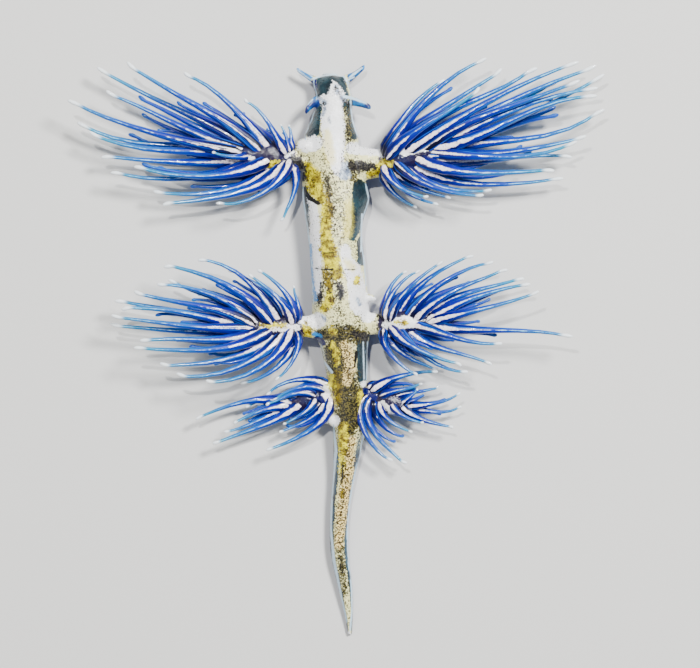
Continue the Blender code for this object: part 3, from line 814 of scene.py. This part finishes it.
# %% Grain of the wet skin
# Features in each mm, detail, roughness, and the two values between which it climbs from 0 to 1.
# The first two have no such values: they stray evenly about zero, and shift the edges of marks.
FIELDS = {
    "wander": (1.8, 3.0, 0.5),
    "grain": (7.5, 2.0, 0.5),
    "sand": (8.0, 1.0, 0.5, 0.46, 0.58),
    "patch": (1.2, 3.0, 0.5, 0.38, 0.60),
    "smear": (2.2, 4.0, 0.6, 0.40, 0.60),
    "drift": (0.8, 4.0, 0.5, 0.35, 0.65),
    "crowd": (1.0, 2.0, 0.5, 0.38, 0.62),
    "gaps": (0.6, 2.0, 0.5, 0.44, 0.54),
}
NOISE_MIDDLE = 0.5
WANDER_SHIFT, GRAIN_SHIFT = 0.35, 0.45
FAINT_SAND = 0.14
SAND_IN_GOLD, GOLD_MIX = 0.3, 0.8
wet_skin, add = new_material("wet skin")
where = add("TexCoord", out="Object")
field = {}
for name, (scale, detail, roughness, *limits) in FIELDS.items():
    inputs = {"Vector": where, "Scale": scale / MM, "Detail": detail, "Roughness": roughness}
    noise = add("TexNoise", inputs)
    if limits:
        field[name] = add("MapRange", (noise, *limits), **SMOOTH)
    else:
        field[name] = add("Math", (noise, NOISE_MIDDLE), operation="SUBTRACT")
wide_shift = add("Math", (field["wander"], WANDER_SHIFT), operation="MULTIPLY")
fine_shift = add("Math", (field["grain"], GRAIN_SHIFT), operation="MULTIPLY")
shift = add("Math", (wide_shift, fine_shift), operation="ADD")
# White is only faintly sandy, and gold has a little sand in its smears.
field["faint"] = add("Math", (field["sand"], FAINT_SAND), operation="MULTIPLY")
streak = add("Math", (field["sand"], SAND_IN_GOLD), operation="MULTIPLY")
streak = add("Math", (field["smear"], streak), operation="ADD")
field["streak"] = add("Math", (streak, GOLD_MIX), operation="MULTIPLY")
print("kinds of grain:", len(field))

# %% [markdown]
# We paint from the lowest coat up, as on a model. The bare back comes first, a pale cream with
# sandy grains, and the tail has a core like it between clear margins. Then each coat goes over
# the last, where its strokes lie.

# %% Coats of colour
TAIL_CORE = (0.46, 0.60)  # the core ends over this share of the half width
TAIL_SHIFT = 0.8  # how far the noise moves that end
# From the lowest up: softness of the edge in mm, how wildly it wanders, how well it covers, the
# grain that mixes its two colours, and those colours.
COATS = {
    "clear": (0.05, 0.6, 1.0, "drift", "#081a22", "#223e46"),
    "olive": (0.14, 2.6, 1.0, "sand", "#1a1808", "#5c5428"),
    "cream": (0.06, 1.4, 1.0, "sand", "#f6dc90", "#4a3810"),
    "hub": (0.10, 1.0, 1.0, "patch", "#02043c", "#14062c"),
    "feeler": (0.05, 0.3, 1.0, "patch", "#001e68", "#0074b4"),
    "silver": (0.05, 0.9, 1.0, "faint", "#ffffff", "#a9a48f"),
    "lemon": (0.22, 1.0, 0.6, "sand", "#f0e264", "#f0e264"),
    "lilac": (0.10, 0.8, 1.0, "smear", "#b4c4d4", "#66748a"),
    "gold": (0.10, 1.6, 1.0, "streak", "#f8ea00", "#543e00"),
    "ochre": (0.12, 2.2, 1.0, "streak", "#8c7800", "#1c1400"),
    # Dark grey marks of the skin, and painted shade under the roots of the front arms.
    "grey_marks_and_shade": (0.08, 1.6, 1.0, "sand", "#0c0a0e", "#38342c"),
    "dark": (0.03, 0.3, 1.0, "sand", "#0c0903", "#0c0903"),
    "sky": (0.07, 0.6, 1.0, "sand", "#1284cc", "#1284cc"),
    # Deep blue of the skin, and in one stroke a painted shadow under the right oral tentacle.
    "blue": (0.07, 0.6, 1.0, "sand", "#000858", "#000858"),
}


def cover(name, soft, wild):
    """How well a coat hides what lies below, its edge shifted by the noise."""
    depth = add("Attribute", out="Fac", attribute_name=name)
    stray = add("Math", (shift, wild), operation="MULTIPLY")
    depth = add("Math", (depth, stray), operation="ADD")
    return add("MapRange", (depth, -soft, soft), **SMOOTH)


grains = add("Math", (field["sand"], field["patch"]), operation="MULTIPLY")
tone = add("Mix", {0: grains, 6: paint("#f4f0ae"), 7: paint("#38340e")}, **COLOUR)
across = add("Attribute", out="Fac", attribute_name="across")
side = add("Math", (across,), operation="ABSOLUTE")
stray = add("Math", (shift, TAIL_SHIFT), operation="MULTIPLY")
side = add("Math", (side, stray), operation="ADD")
tail = add("MapRange", (add("Attribute", out="Fac", attribute_name="tail"), 0.0, 1.0), **SMOOTH)
margin = add("Math", (add("MapRange", (side, *TAIL_CORE), **SMOOTH), tail), operation="MULTIPLY")
clear = add("Mix", {0: field["drift"], 6: paint("#0a1e2c"), 7: paint("#305064")}, **COLOUR)
tone = add("Mix", {0: margin, 6: tone, 7: clear}, **COLOUR)
for name, (soft, wild, strength, mixer, first, second) in COATS.items():
    colour = add("Mix", {0: field[mixer], 6: paint(first), 7: paint(second)}, **COLOUR)
    hiding = add("Math", (cover(name, soft, wild), strength), operation="MULTIPLY")
    tone = add("Mix", {0: hiding, 6: tone, 7: colour}, **COLOUR)
print("coats:", len(COATS))

# %% [markdown]
# Dark specks of about a tenth of a mm lie over it all, thick in some places and thin in others,
# and hardly any on pure silver. Cells of a Voronoi texture place them. Each cell's own colour
# gives its speck a size, and the grain roughens its edge.

# %% Specks
SPECKS_PER_MM = 7.0
LOOSE = 0.6  # size of the specks outside the peppered strokes, as a share
PEPPER_EDGE = (-0.30, 0.35)
SPECK_SIZE = 0.42  # share of a cell
SMALLEST = 0.5  # the smallest speck over the mean one
SPECK_ROUGHNESS = 0.35
SPECK_EDGE = (-0.03, 0.04)
SILVER_EDGE = (0.25, 0.55)  # depth in a silver stroke over which the specks fade, in mm
SILVER_MASK = 0.8
SPECK_STRENGTH = 0.88
cells = add("TexVoronoi", {"Vector": where, "Scale": SPECKS_PER_MM / MM, "Randomness": 1.0}).node
crowd = add("Math", (field["crowd"], LOOSE), operation="MULTIPLY")
pepper = add("Attribute", out="Fac", attribute_name="pepper")
pepper = add("MapRange", (pepper, *PEPPER_EDGE), **SMOOTH)
size = add("Math", (crowd, pepper), operation="MAXIMUM")
size = add("Math", (size, SPECK_SIZE), operation="MULTIPLY")
chance = add("Math", (cells.outputs["Color"], SMALLEST), operation="ADD")
size = add("Math", (size, chance), operation="MULTIPLY")
near = add("Math", (size, cells.outputs["Distance"]), operation="SUBTRACT")
stray = add("Math", (field["grain"], SPECK_ROUGHNESS), operation="MULTIPLY")
near = add("Math", (near, stray), operation="ADD")
back = add("Attribute", out="Fac", attribute_name="back")
specks = add("Math", (add("MapRange", (near, *SPECK_EDGE), **SMOOTH), back), operation="MULTIPLY")
silver = add("Attribute", out="Fac", attribute_name="silver")
silver = add("MapRange", (silver, *SILVER_EDGE), **SMOOTH)
silver = add("Math", (silver, SILVER_MASK), operation="MULTIPLY")
bare = add("Math", (1.0, silver), operation="SUBTRACT")
specks = add("Math", (specks, bare), operation="MULTIPLY")
specks = add("Math", (specks, SPECK_STRENGTH), operation="MULTIPLY")
tone = add("Mix", {0: specks, 6: tone, 7: paint("#171204")}, **COLOUR)
print("specks in each mm:", SPECKS_PER_MM)

# %% [markdown]
# A thin painted highlight runs along the edge of the skin, broken here and there, where light
# catches its rim. The strokes draw the plainest stretches of it, and the measured distance from
# the edge draws the rest. Below, the foot is striped with dark and pale blue, and the mouth
# opening is painted dark as shade.

# %% Painted highlight on the edge, the foot, and painted shade in the mouth
EDGE_PLACE = 0.10  # how far in from the edge the line runs, in mm
EDGE_WIDTH = (0.02, 0.06)
LINE_SOFT, LINE_WILD = 0.04, 0.15
STRIPE_SHIFT = 0.3
STRIPE_EDGE = (0.42, 0.62)  # share of the half width where pale blue turns to dark
FOOT_EDGE = (0.45, 0.75)
MOUTH_EDGE = (-0.1, 0.3)
# Painted highlight: a pale line just inside the edge of the skin, broken by gaps, where light catches
# the wet rim.
edge = add("Attribute", out="Fac", attribute_name="rim")
edge = add("Math", (edge, EDGE_PLACE), operation="SUBTRACT")
edge = add("Math", (edge,), operation="ABSOLUTE")
edge = add("Math", (1.0, add("MapRange", (edge, *EDGE_WIDTH), **SMOOTH)), operation="SUBTRACT")
edge = add("Math", (edge, field["gaps"]), operation="MULTIPLY")
tone = add("Mix", {0: edge, 6: tone, 7: paint("#a9cfe8")}, **COLOUR)
# The line strokes add more of the painted highlight along the edge.
highlight_line = cover("highlight_line", LINE_SOFT, LINE_WILD)
tone = add("Mix", {0: highlight_line, 6: tone, 7: paint("#c4dff0")}, **COLOUR)
stray = add("Math", (field["wander"], STRIPE_SHIFT), operation="MULTIPLY")
stripe = add("Math", (across, stray), operation="ADD")
stripe = add("Math", (stripe,), operation="ABSOLUTE")
stripe = add("MapRange", (stripe, *STRIPE_EDGE), **SMOOTH)
sole = add("Mix", {0: stripe, 6: paint("#7fb2dc"), 7: paint("#173f8c")}, **COLOUR)
under = add("Attribute", out="Fac", attribute_name="under")
under = add("MapRange", (under, *FOOT_EDGE), **SMOOTH)
tone = add("Mix", {0: under, 6: tone, 7: sole}, **COLOUR)
# Painted shade: the mouth opening is coloured near black for the shade inside it.
opening = add("Attribute", out="Fac", attribute_name="mouth")
opening = add("MapRange", (opening, *MOUTH_EDGE), **SMOOTH)
tone = add("Mix", {0: opening, 6: tone, 7: paint("#04101c")}, **COLOUR)
print("inner edge of the foot's stripes:", STRIPE_EDGE)

# %% [markdown]
# What is left is the finish. Living skin is soft and a little rough, so it scatters some light
# inside. A thin coat of water lies over it, smooth and shiny, and that makes it look wet. The
# relief of the grain is shallow, and it breaks the glints.

# %% Wet finish
WANDER_RELIEF = 2.0
relief = add("Math", (field["wander"], WANDER_RELIEF), operation="MULTIPLY")
relief = add("Math", (field["grain"], relief), operation="ADD")
bumps = add("Bump", {"Height": relief, "Strength": 0.55, "Distance": 0.08 * MM})
finish = {
    "Base Color": tone,
    "Normal": bumps,
    "Roughness": 0.42,
    "Specular IOR Level": 0.2,
    "Subsurface Weight": 0.08,
    "Subsurface Radius": (0.4, 0.35, 0.3),
    "Subsurface Scale": 0.3 * MM,
    "Coat Normal": bumps,
    "Coat Weight": 0.8,
    "Coat Roughness": 0.07,
}
add("OutputMaterial", (add("BsdfPrincipled", finish),))
skin.data.materials.clear()
skin.data.materials.append(wet_skin)
pick(skin)
bpy.ops.object.shade_smooth()
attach(skin, "root")
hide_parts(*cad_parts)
print("the skin stands for", len(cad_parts), "nodes")

# %% [markdown]
# A ceras is a flat finger: broad and blade-like at the root, slim in the middle, and a little
# swollen at its pale tip. We model one, straight, and give it a map that says how far along and
# how far round it each point is. The colours follow that map on every copy.

# %% One ceras
# Share of the length, half width and half height in mm.
BLADE = (
    (0.00, 0.16, 0.10),
    (0.02, 0.34, 0.20),
    (0.07, 0.49, 0.29),
    (0.15, 0.48, 0.30),
    (0.25, 0.40, 0.27),
    (0.36, 0.30, 0.23),
    (0.50, 0.225, 0.18),
    (0.64, 0.18, 0.155),
    (0.78, 0.145, 0.135),
    (0.88, 0.12, 0.115),
    (0.93, 0.115, 0.11),
    (0.965, 0.15, 0.14),
    (0.99, 0.11, 0.10),
    (1.00, 0.04, 0.04),
)
BLADE_LENGTH = 10.0
BLADE_SIDES = 10
rings = [(share * BLADE_LENGTH, 0.0, 0.0, wide, high) for share, wide, high in BLADE]
blade = limb("ceras", "X", rings, BLADE_SIDES)
layer = blade.data.uv_layers.new(name="blade")
for face in blade.data.polygons:
    turns = []
    for corner in face.loop_indices:
        place = blade.data.vertices[blade.data.loops[corner].vertex_index].co / MM
        turn = math.atan2(place.z, place.y) / (2 * math.pi) % 1.0
        turns.append(turn)
        layer.data[corner].uv = (turn, place.x / BLADE_LENGTH)
    # A face that crosses the start of the turn keeps its corners together.
    if max(turns) - min(turns) > 0.5 and len(face.vertices) == 4:
        for corner in face.loop_indices:
            if layer.data[corner].uv.x < 0.5:
                layer.data[corner].uv.x += 1.0
print("faces of a ceras:", len(blade.data.polygons))

# %% [markdown]
# Every ceras has a path of its own. It leaves the hub turned outwards, bows over to its tip and
# rises or sinks to one of three tiers, so that the cerata overlap as they do on the animal. It
# waves a little on the way, and many hook at the tip. Seeded chance gives each its small
# differences, the same on every run.

# %% Paths of the cerata
TIERS = (-0.35, 0.35, 1.05)
UNDER_TIER = -0.6
ROOT_SPREAD, TIER_GATHER = 0.34, 0.2  # roots of a high tier stand nearer the ridge
ROOT_HEIGHT, ROOT_TIER = 0.50, 0.30  # share of the hub's half height, and more for each tier
REAR_BOW = 1.9  # the last cerata leave this much more turned than the solid ones
BOW_GROWTH = 1.6  # the bow grows slowly at first, then fast
BOW_CHANCE = 5.0  # degrees
ARRIVAL = 0.6  # share of the bow that is left at the tip
ARRIVAL_CHANCE = 18.0  # degrees
TIER_RISE, RISE_CHANCE = 0.8, 0.08  # mm for a tier of 1
RISE_END = 0.45  # share of the length at which the height of the tier is reached
WAVE = 0.014  # greatest wave, as a share of the length
HOOK = 0.16  # greatest bend of a tip, in mm
HOOK_PLACE, HOOK_REACH = 0.93, 0.07
PATH_STEPS = 22


def turned(vector, degrees):
    """The vector turned round the vertical."""
    return Matrix.Rotation(math.radians(degrees), 3, "Z") @ vector


def ceras_path(arm, order, tip, rng):
    """Points from the root in the hub to the tip."""
    side = arm["side"]
    share = order / (len(arm["tips"]) - 1)
    outward = math.sin(math.pi * share) ** 2
    wrist, palm, end = (Vector(arm["path"][k][:3]) for k in (1, 2, 3))
    palm_half, end_half = (arm["path"][k][3] for k in (2, 3))
    half_width = palm_half + (end_half - palm_half) * outward
    tier = TIERS[int(order) % len(TIERS)] if order == int(order) else UNDER_TIER
    # Roots stand in two rows along the ridge of the hub, and meet at its end.
    root = wrist.lerp(end, arm["row"] + (1 - arm["row"]) * outward)
    root.y += math.cos(math.pi * share) * half_width * (ROOT_SPREAD - TIER_GATHER * tier)
    root.z = palm.z + half_width * ARM_FLATNESS * (ROOT_HEIGHT + ROOT_TIER * tier)
    chord = Vector((tip[0], tip[1], root.z)) - root
    first_bow, last_bow = arm["bow"]
    bow = first_bow + (REAR_BOW * last_bow - first_bow) * share**BOW_GROWTH
    bow += rng.uniform(-BOW_CHANCE, BOW_CHANCE)
    leaving = turned(chord, -side * bow)
    arriving = turned(chord, side * bow * ARRIVAL + rng.uniform(-ARRIVAL_CHANCE, ARRIVAL_CHANCE))
    rise = tier * TIER_RISE + rng.uniform(-RISE_CHANCE, RISE_CHANCE)
    height = arm["lift"] * rise + arm["climb"] * share
    wave = rng.uniform(-WAVE, WAVE) * chord.length
    hook = rng.uniform(-HOOK, HOOK)
    aside = turned(chord, 90.0).normalized()
    points = []
    for t in np.linspace(0.0, 1.0, PATH_STEPS).tolist():
        _, leave, reach, arrive = curve_weights(t)
        place = root + chord * reach
        place += leaving * leave + arriving * arrive
        bend = max(0.0, 1 - abs(t - HOOK_PLACE) / HOOK_REACH)
        place += aside * (wave * math.sin(2 * math.pi * t) + hook * bend)
        place.z = root.z + height * ease(min(t / RISE_END, 1.0))
        points.append(place * MM)
    return points


rng = random.Random("trial")
trial = ceras_path(ARMS["front_left"], 9, ARMS["front_left"]["tips"][9], rng)
print("a long ceras reaches in mm:", round((trial[-1] - trial[0]).length / MM, 1))

# %% [markdown]
# Modelling over two hundred cerata by hand would take days. Instead the one ceras is copied, and
# a Curve modifier stretches and bends each copy along its path. Shorter ones fill the gaps below.
# Every copy stores a tone of its own and the breadth of its silver stripe for the material.

# %% Fans of cerata
UNDER_LENGTH = (0.55, 0.80)  # of the mean of the two neighbours
UNDER_WIDTH = 1.15
UNDER_STRIPE = 0.2  # the short ones show little silver
PLAIN_STRIPE = 0.4  # nor do most of the first half of each fan, and some of the others
BOLD_FROM = 0.45  # share of the fan from which most stripes are bold
BOLD_CHANCES = (0.3, 0.75)  # before that and after it
THIN, THICKER, THICKEST = 0.55, 0.045, 1.0  # of a short one, more for each mm, and the limit
THICKNESS_CHANCE = (0.92, 1.08)
STRIP_START, STRIP_WIDTH = 0.05, 0.8  # of the lane that each ceras has in the map for baking


def bend_copy(points, thickness):
    """A copy of the ceras, bent along the points."""
    pick(blade)
    bpy.ops.object.duplicate()
    copy = bpy.context.active_object
    curve = bpy.data.curves.new("path", "CURVE")
    curve.dimensions = "3D"
    curve.twist_mode = "Z_UP"
    curve.use_stretch = True
    curve.use_deform_bounds = True
    spline = curve.splines.new("POLY")
    spline.points.add(len(points) - 1)
    for spot, place in zip(spline.points, points):
        spot.co = (*place, 1.0)
        spot.radius = thickness
    path = bpy.data.objects.new("path", curve)
    bpy.context.scene.collection.objects.link(path)
    apply_modifier(copy, "CURVE", object=path, deform_axis="POS_X")
    bpy.data.objects.remove(path)
    bpy.data.curves.remove(curve)
    return copy


def make_fan(name, arm):
    """All the cerata of one arm, joined."""
    rng = random.Random(name)
    tips = list(enumerate(arm["tips"]))
    last = len(arm["tips"]) - 1
    palm = Vector(arm["path"][2][:2])
    for order in range(last):
        between = (Vector(arm["tips"][order]) + Vector(arm["tips"][order + 1])) / 2
        tips.append((order + 0.5, palm.lerp(between, rng.uniform(*UNDER_LENGTH))))
    copies = []
    for index, (order, tip) in enumerate(tips):
        points = ceras_path(arm, order, tip, rng)
        length = sum((b - a).length for a, b in zip(points[:-1], points[1:])) / MM
        under = order != int(order)
        thickness = min(THIN + THICKER * length, THICKEST) * rng.uniform(*THICKNESS_CHANCE)
        copy = bend_copy(points, thickness * UNDER_WIDTH if under else thickness)
        count = len(copy.data.vertices)
        store(copy, "tone", [rng.random()] * count)
        bold = rng.random() < BOLD_CHANCES[order / last >= BOLD_FROM]
        stripe = UNDER_STRIPE if under else PLAIN_STRIPE + (1.0 - PLAIN_STRIPE) * bold
        store(copy, "stripe", [stripe] * count)
        bake = copy.data.uv_layers.new(name="OFBake")
        for corner, spot in enumerate(copy.data.uv_layers["blade"].data):
            across = index + STRIP_START + STRIP_WIDTH * spot.uv.x
            bake.data[corner].uv = (across / len(tips), spot.uv.y)
        copies.append(copy)
    return join(copies, "fan_" + name)


fans = {name: make_fan(name, arm) for name, arm in ARMS.items()}
bpy.data.objects.remove(blade)
print("long cerata:", {name: len(arm["tips"]) for name, arm in ARMS.items()})
print("faces in the fans:", sum(len(fan.data.polygons) for fan in fans.values()))

# %% [markdown]
# The flesh of a ceras is deep ultramarine at the root and turns to azure and then to a pale sea
# blue near the tip. A ramp of colours along the map gives that. Each ceras is shifted a little on
# it by its own tone, and faint pale streaks run along the flesh.

# %% Blue flesh
# Share of the length and the colour there, from the root to the tip.
BLUES = (
    (0.00, "#000014"),
    (0.09, "#00002a"),
    (0.22, "#00026a"),
    (0.40, "#001292"),
    (0.62, "#003aa4"),
    (0.82, "#0068ac"),
    (1.00, "#0086a8"),
)
CLOUDS_PER_MM, GRAINS_PER_MM = 1.4, 6.0
TONE_MIDDLE = 0.5
TONE_SHIFT, CLOUD_SHIFT = 0.16, 0.25  # along the ramp
UNDER_DEPTH = 0.65  # the short ones below stay a deeper blue
LANES, STREAK_SCALE = 9.0, 2.2  # together about twenty streaks round a ceras
STREAK_EDGE = (0.52, 0.68)
wet_cerata, add = new_material("wet blue cerata")
where = add("TexCoord", out="Object")
blade_map = add("SeparateXYZ", (add("UVMap", uv_map="blade"),)).node
turn, reach = blade_map.outputs[:2]
cloud = add("TexNoise", {"Vector": where, "Scale": CLOUDS_PER_MM / MM, "Detail": 3.0})
cloud = add("Math", (cloud, NOISE_MIDDLE), operation="SUBTRACT")
grain = add("TexNoise", {"Vector": where, "Scale": GRAINS_PER_MM / MM, "Detail": 2.0})
own = add("Attribute", out="Fac", attribute_name="tone")
own_shift = add("Math", (own, TONE_MIDDLE), operation="SUBTRACT")
own_shift = add("Math", (own_shift, TONE_SHIFT), operation="MULTIPLY")
cloud_shift = add("Math", (cloud, CLOUD_SHIFT), operation="MULTIPLY")
both_shifts = add("Math", (own_shift, cloud_shift), operation="ADD")
place = add("Math", (reach, both_shifts), operation="ADD")
breadth = add("Attribute", out="Fac", attribute_name="stripe")
long_one = add("MapRange", (breadth, UNDER_STRIPE, PLAIN_STRIPE), **SMOOTH)
depth = add("Math", (long_one, 1.0 - UNDER_DEPTH), operation="MULTIPLY")
depth = add("Math", (depth, UNDER_DEPTH), operation="ADD")
place = add("Math", (place, depth), operation="MULTIPLY")
blues = add("ValToRGB", (place,))
ramp = blues.node.color_ramp
for position, _ in BLUES[1:-1]:
    ramp.elements.new(position)
for stop, (position, code) in zip(ramp.elements, BLUES):
    stop.position = position
    stop.color = paint(code)
lanes = add("CombineXYZ", (add("Math", (turn, LANES), operation="MULTIPLY"), reach, own))
streak = add("TexNoise", {"Vector": lanes, "Scale": STREAK_SCALE, "Detail": 2.0})
streak = add("MapRange", (streak, *STREAK_EDGE), **SMOOTH)
paler = add("Math", (reach, depth), operation="MULTIPLY")
lighter = add("Mix", {0: paler, 6: paint("#001eb0"), 7: paint("#10b0e0")}, **COLOUR)
tone = add("Mix", {0: streak, 6: blues, 7: lighter}, **COLOUR)
print("stops of blue:", len(ramp.elements))

# %% [markdown]
# Along the top of each ceras runs a silvery stripe, broad where it starts and thin further out.
# The map says how far from the top each point is, and where that is less than the stripe's
# width there, the silver shows. Further out the stripe turns into a pale cyan painted highlight.
# The sides are painted a paler cyan as painted light, where light shines through the thin flesh
# and glints off the wet edges, and the tips are pale.

# %% Silver stripe turning to a painted highlight, and pale tip
TOP = 0.25  # a quarter turn up from the side
# The sides of each ceras get a paler cyan painted light over these turns from the top and this share of
# the length.
LIT_SIDE, LIT_REACH, LIT_STRENGTH = (0.10, 0.22), (0.3, 0.7), 0.5
STRIPE_REACH = 0.40  # share of the length over which the stripe narrows
STRIPE_ROOT, STRIPE_END = 0.115, 0.020  # half widths, in turns
LONG_EXTRA = 0.022  # more for each of the long ones
CLOUD_RAGGED, GRAIN_RAGGED = 0.16, 0.05
STRIPE_SOFT = 0.010
# Near the root the stripe is real silver; further out it turns into a bluish painted highlight.
SILVER_REACH = (0.15, 0.75)  # the silver turns bluish over this share of the length
DUSK_GRAIN, DUSK_STRENGTH = (0.5, 0.62), 0.5
TIP_REACH = (0.90, 0.95)
from_top = add("Math", (turn, TOP), operation="SUBTRACT")
from_top = add("Math", (from_top,), operation="ABSOLUTE")
# Painted light: the sides of each ceras turn a paler cyan, for light shining through the thin flesh and
# glinting off its wet edges.
lit_side = add("MapRange", (from_top, *LIT_SIDE), **SMOOTH)
lit_reach = add("MapRange", (reach, *LIT_REACH), **SMOOTH)
side_light = add("Math", (lit_side, lit_reach), operation="MULTIPLY")
side_light = add("Math", (side_light, LIT_STRENGTH), operation="MULTIPLY")
tone = add("Mix", {0: side_light, 6: tone, 7: paint("#0a8cd8")}, **COLOUR)
ragged = add("Math", (cloud, CLOUD_RAGGED), operation="MULTIPLY")
from_top = add("Math", (from_top, ragged), operation="ADD")
ragged = add("Math", (grain, GRAIN_RAGGED), operation="MULTIPLY")
from_top = add("Math", (from_top, ragged), operation="ADD")
width = add("MapRange", (reach, 0.0, STRIPE_REACH, STRIPE_ROOT, STRIPE_END))
width = add("Math", (width, breadth), operation="MULTIPLY")
extra = add("Math", (long_one, LONG_EXTRA), operation="MULTIPLY")
width = add("Math", (width, extra), operation="ADD")
stripe = add("Math", (width, from_top), operation="SUBTRACT")
stripe = add("MapRange", (stripe, -STRIPE_SOFT, STRIPE_SOFT), **SMOOTH)
# Painted highlight: towards the tip the silver stripe turns pale cyan, for the thin glint along the wet
# top.
toward_highlight = add("MapRange", (reach, *SILVER_REACH), **SMOOTH)
silver = add("Mix", {0: toward_highlight, 6: paint("#fff4f8"), 7: paint("#7fd4fa")}, **COLOUR)
dusk = add("MapRange", (grain, *DUSK_GRAIN), **SMOOTH)
dusk = add("Math", (dusk, DUSK_STRENGTH), operation="MULTIPLY")
silver = add("Mix", {0: dusk, 6: silver, 7: paint("#a98f9c")}, **COLOUR)
tone = add("Mix", {0: stripe, 6: tone, 7: silver}, **COLOUR)
tip = add("Math", (add("MapRange", (reach, *TIP_REACH), **SMOOTH), long_one), operation="MULTIPLY")
tone = add("Mix", {0: tip, 6: tone, 7: paint("#f4fbfd")}, **COLOUR)
finish = {
    "Base Color": tone,
    "Normal": add("Bump", {"Height": grain, "Strength": 0.25, "Distance": 0.05 * MM}),
    "Roughness": 0.35,
    "Specular IOR Level": 0.3,
    "Coat Weight": 0.5,
    "Coat Roughness": 0.06,
}
add("OutputMaterial", (add("BsdfPrincipled", finish),))
for name, fan in fans.items():
    fan.data.materials.clear()
    fan.data.materials.append(wet_cerata)
    pick(fan)
    bpy.ops.object.shade_smooth()
    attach(fan, "root")
    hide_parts("cerata_" + name)
print("fans finished:", len(fans))

# %% [markdown]
# The model stands in a small studio: a plain pale floor, a large soft light from the upper right,
# a second one that fills the shadows, and a small one that gives the wet skin its glints.

# %% Floor and lights
FLOOR_SIZE = 1.2
FLOOR_GAP = 0.02 * MM  # it lies a hair below the flat foot, so that the two faces don't fight
bpy.ops.mesh.primitive_plane_add(size=FLOOR_SIZE, location=(0.0, 0.0, -FLOOR_GAP))
floor = bpy.context.active_object
floor.name = "floor"
matt_floor, add = new_material("pale matt floor")
finish = add("BsdfPrincipled", {"Base Color": paint("#d9d8d4"), "Roughness": 0.9})
add("OutputMaterial", (finish,))
floor.data.materials.append(matt_floor)
# Place and side in metres, and power in watts. Each is a square that points at the model.
LAMPS = {
    "key": ((0.13, 0.12, 0.26), 0.06, 1.9),
    "fill": ((-0.22, -0.10, 0.24), 0.25, 0.25),
    "glint": ((-0.04, 0.10, 0.30), 0.008, 0.6),
}
for name, (place, size, power) in LAMPS.items():
    bpy.ops.object.light_add(type="AREA", location=place)
    light = bpy.context.active_object
    light.name = name
    light.data.size = size
    light.data.energy = power
    light.rotation_euler = (-Vector(place)).to_track_quat("-Z", "Y").to_euler()
world = bpy.data.worlds.new("soft room")
world.use_nodes = True
world.node_tree.nodes["Background"].inputs[0].default_value = paint("#e6ebf0")
world.node_tree.nodes["Background"].inputs[1].default_value = 0.2
bpy.context.scene.world = world
print("lights:", list(LAMPS))

# %% [markdown]
# The camera looks straight down, with a long lens, as in a picture for a field guide. Its place
# was worked out from the outline, so that a mm on the model is 14 pixels wide.

# %% Camera
CAMERA_PLACE = (0.000857, 0.001071, 0.347)
bpy.ops.object.camera_add(location=CAMERA_PLACE, rotation=(0.0, 0.0, 0.0))
camera = bpy.context.active_object
camera.data.lens = 250.0
camera.data.sensor_width = 36.0
camera.data.clip_start = 0.001
bpy.context.scene.camera = camera
print("camera above the floor in mm:", CAMERA_PLACE[2] / MM)
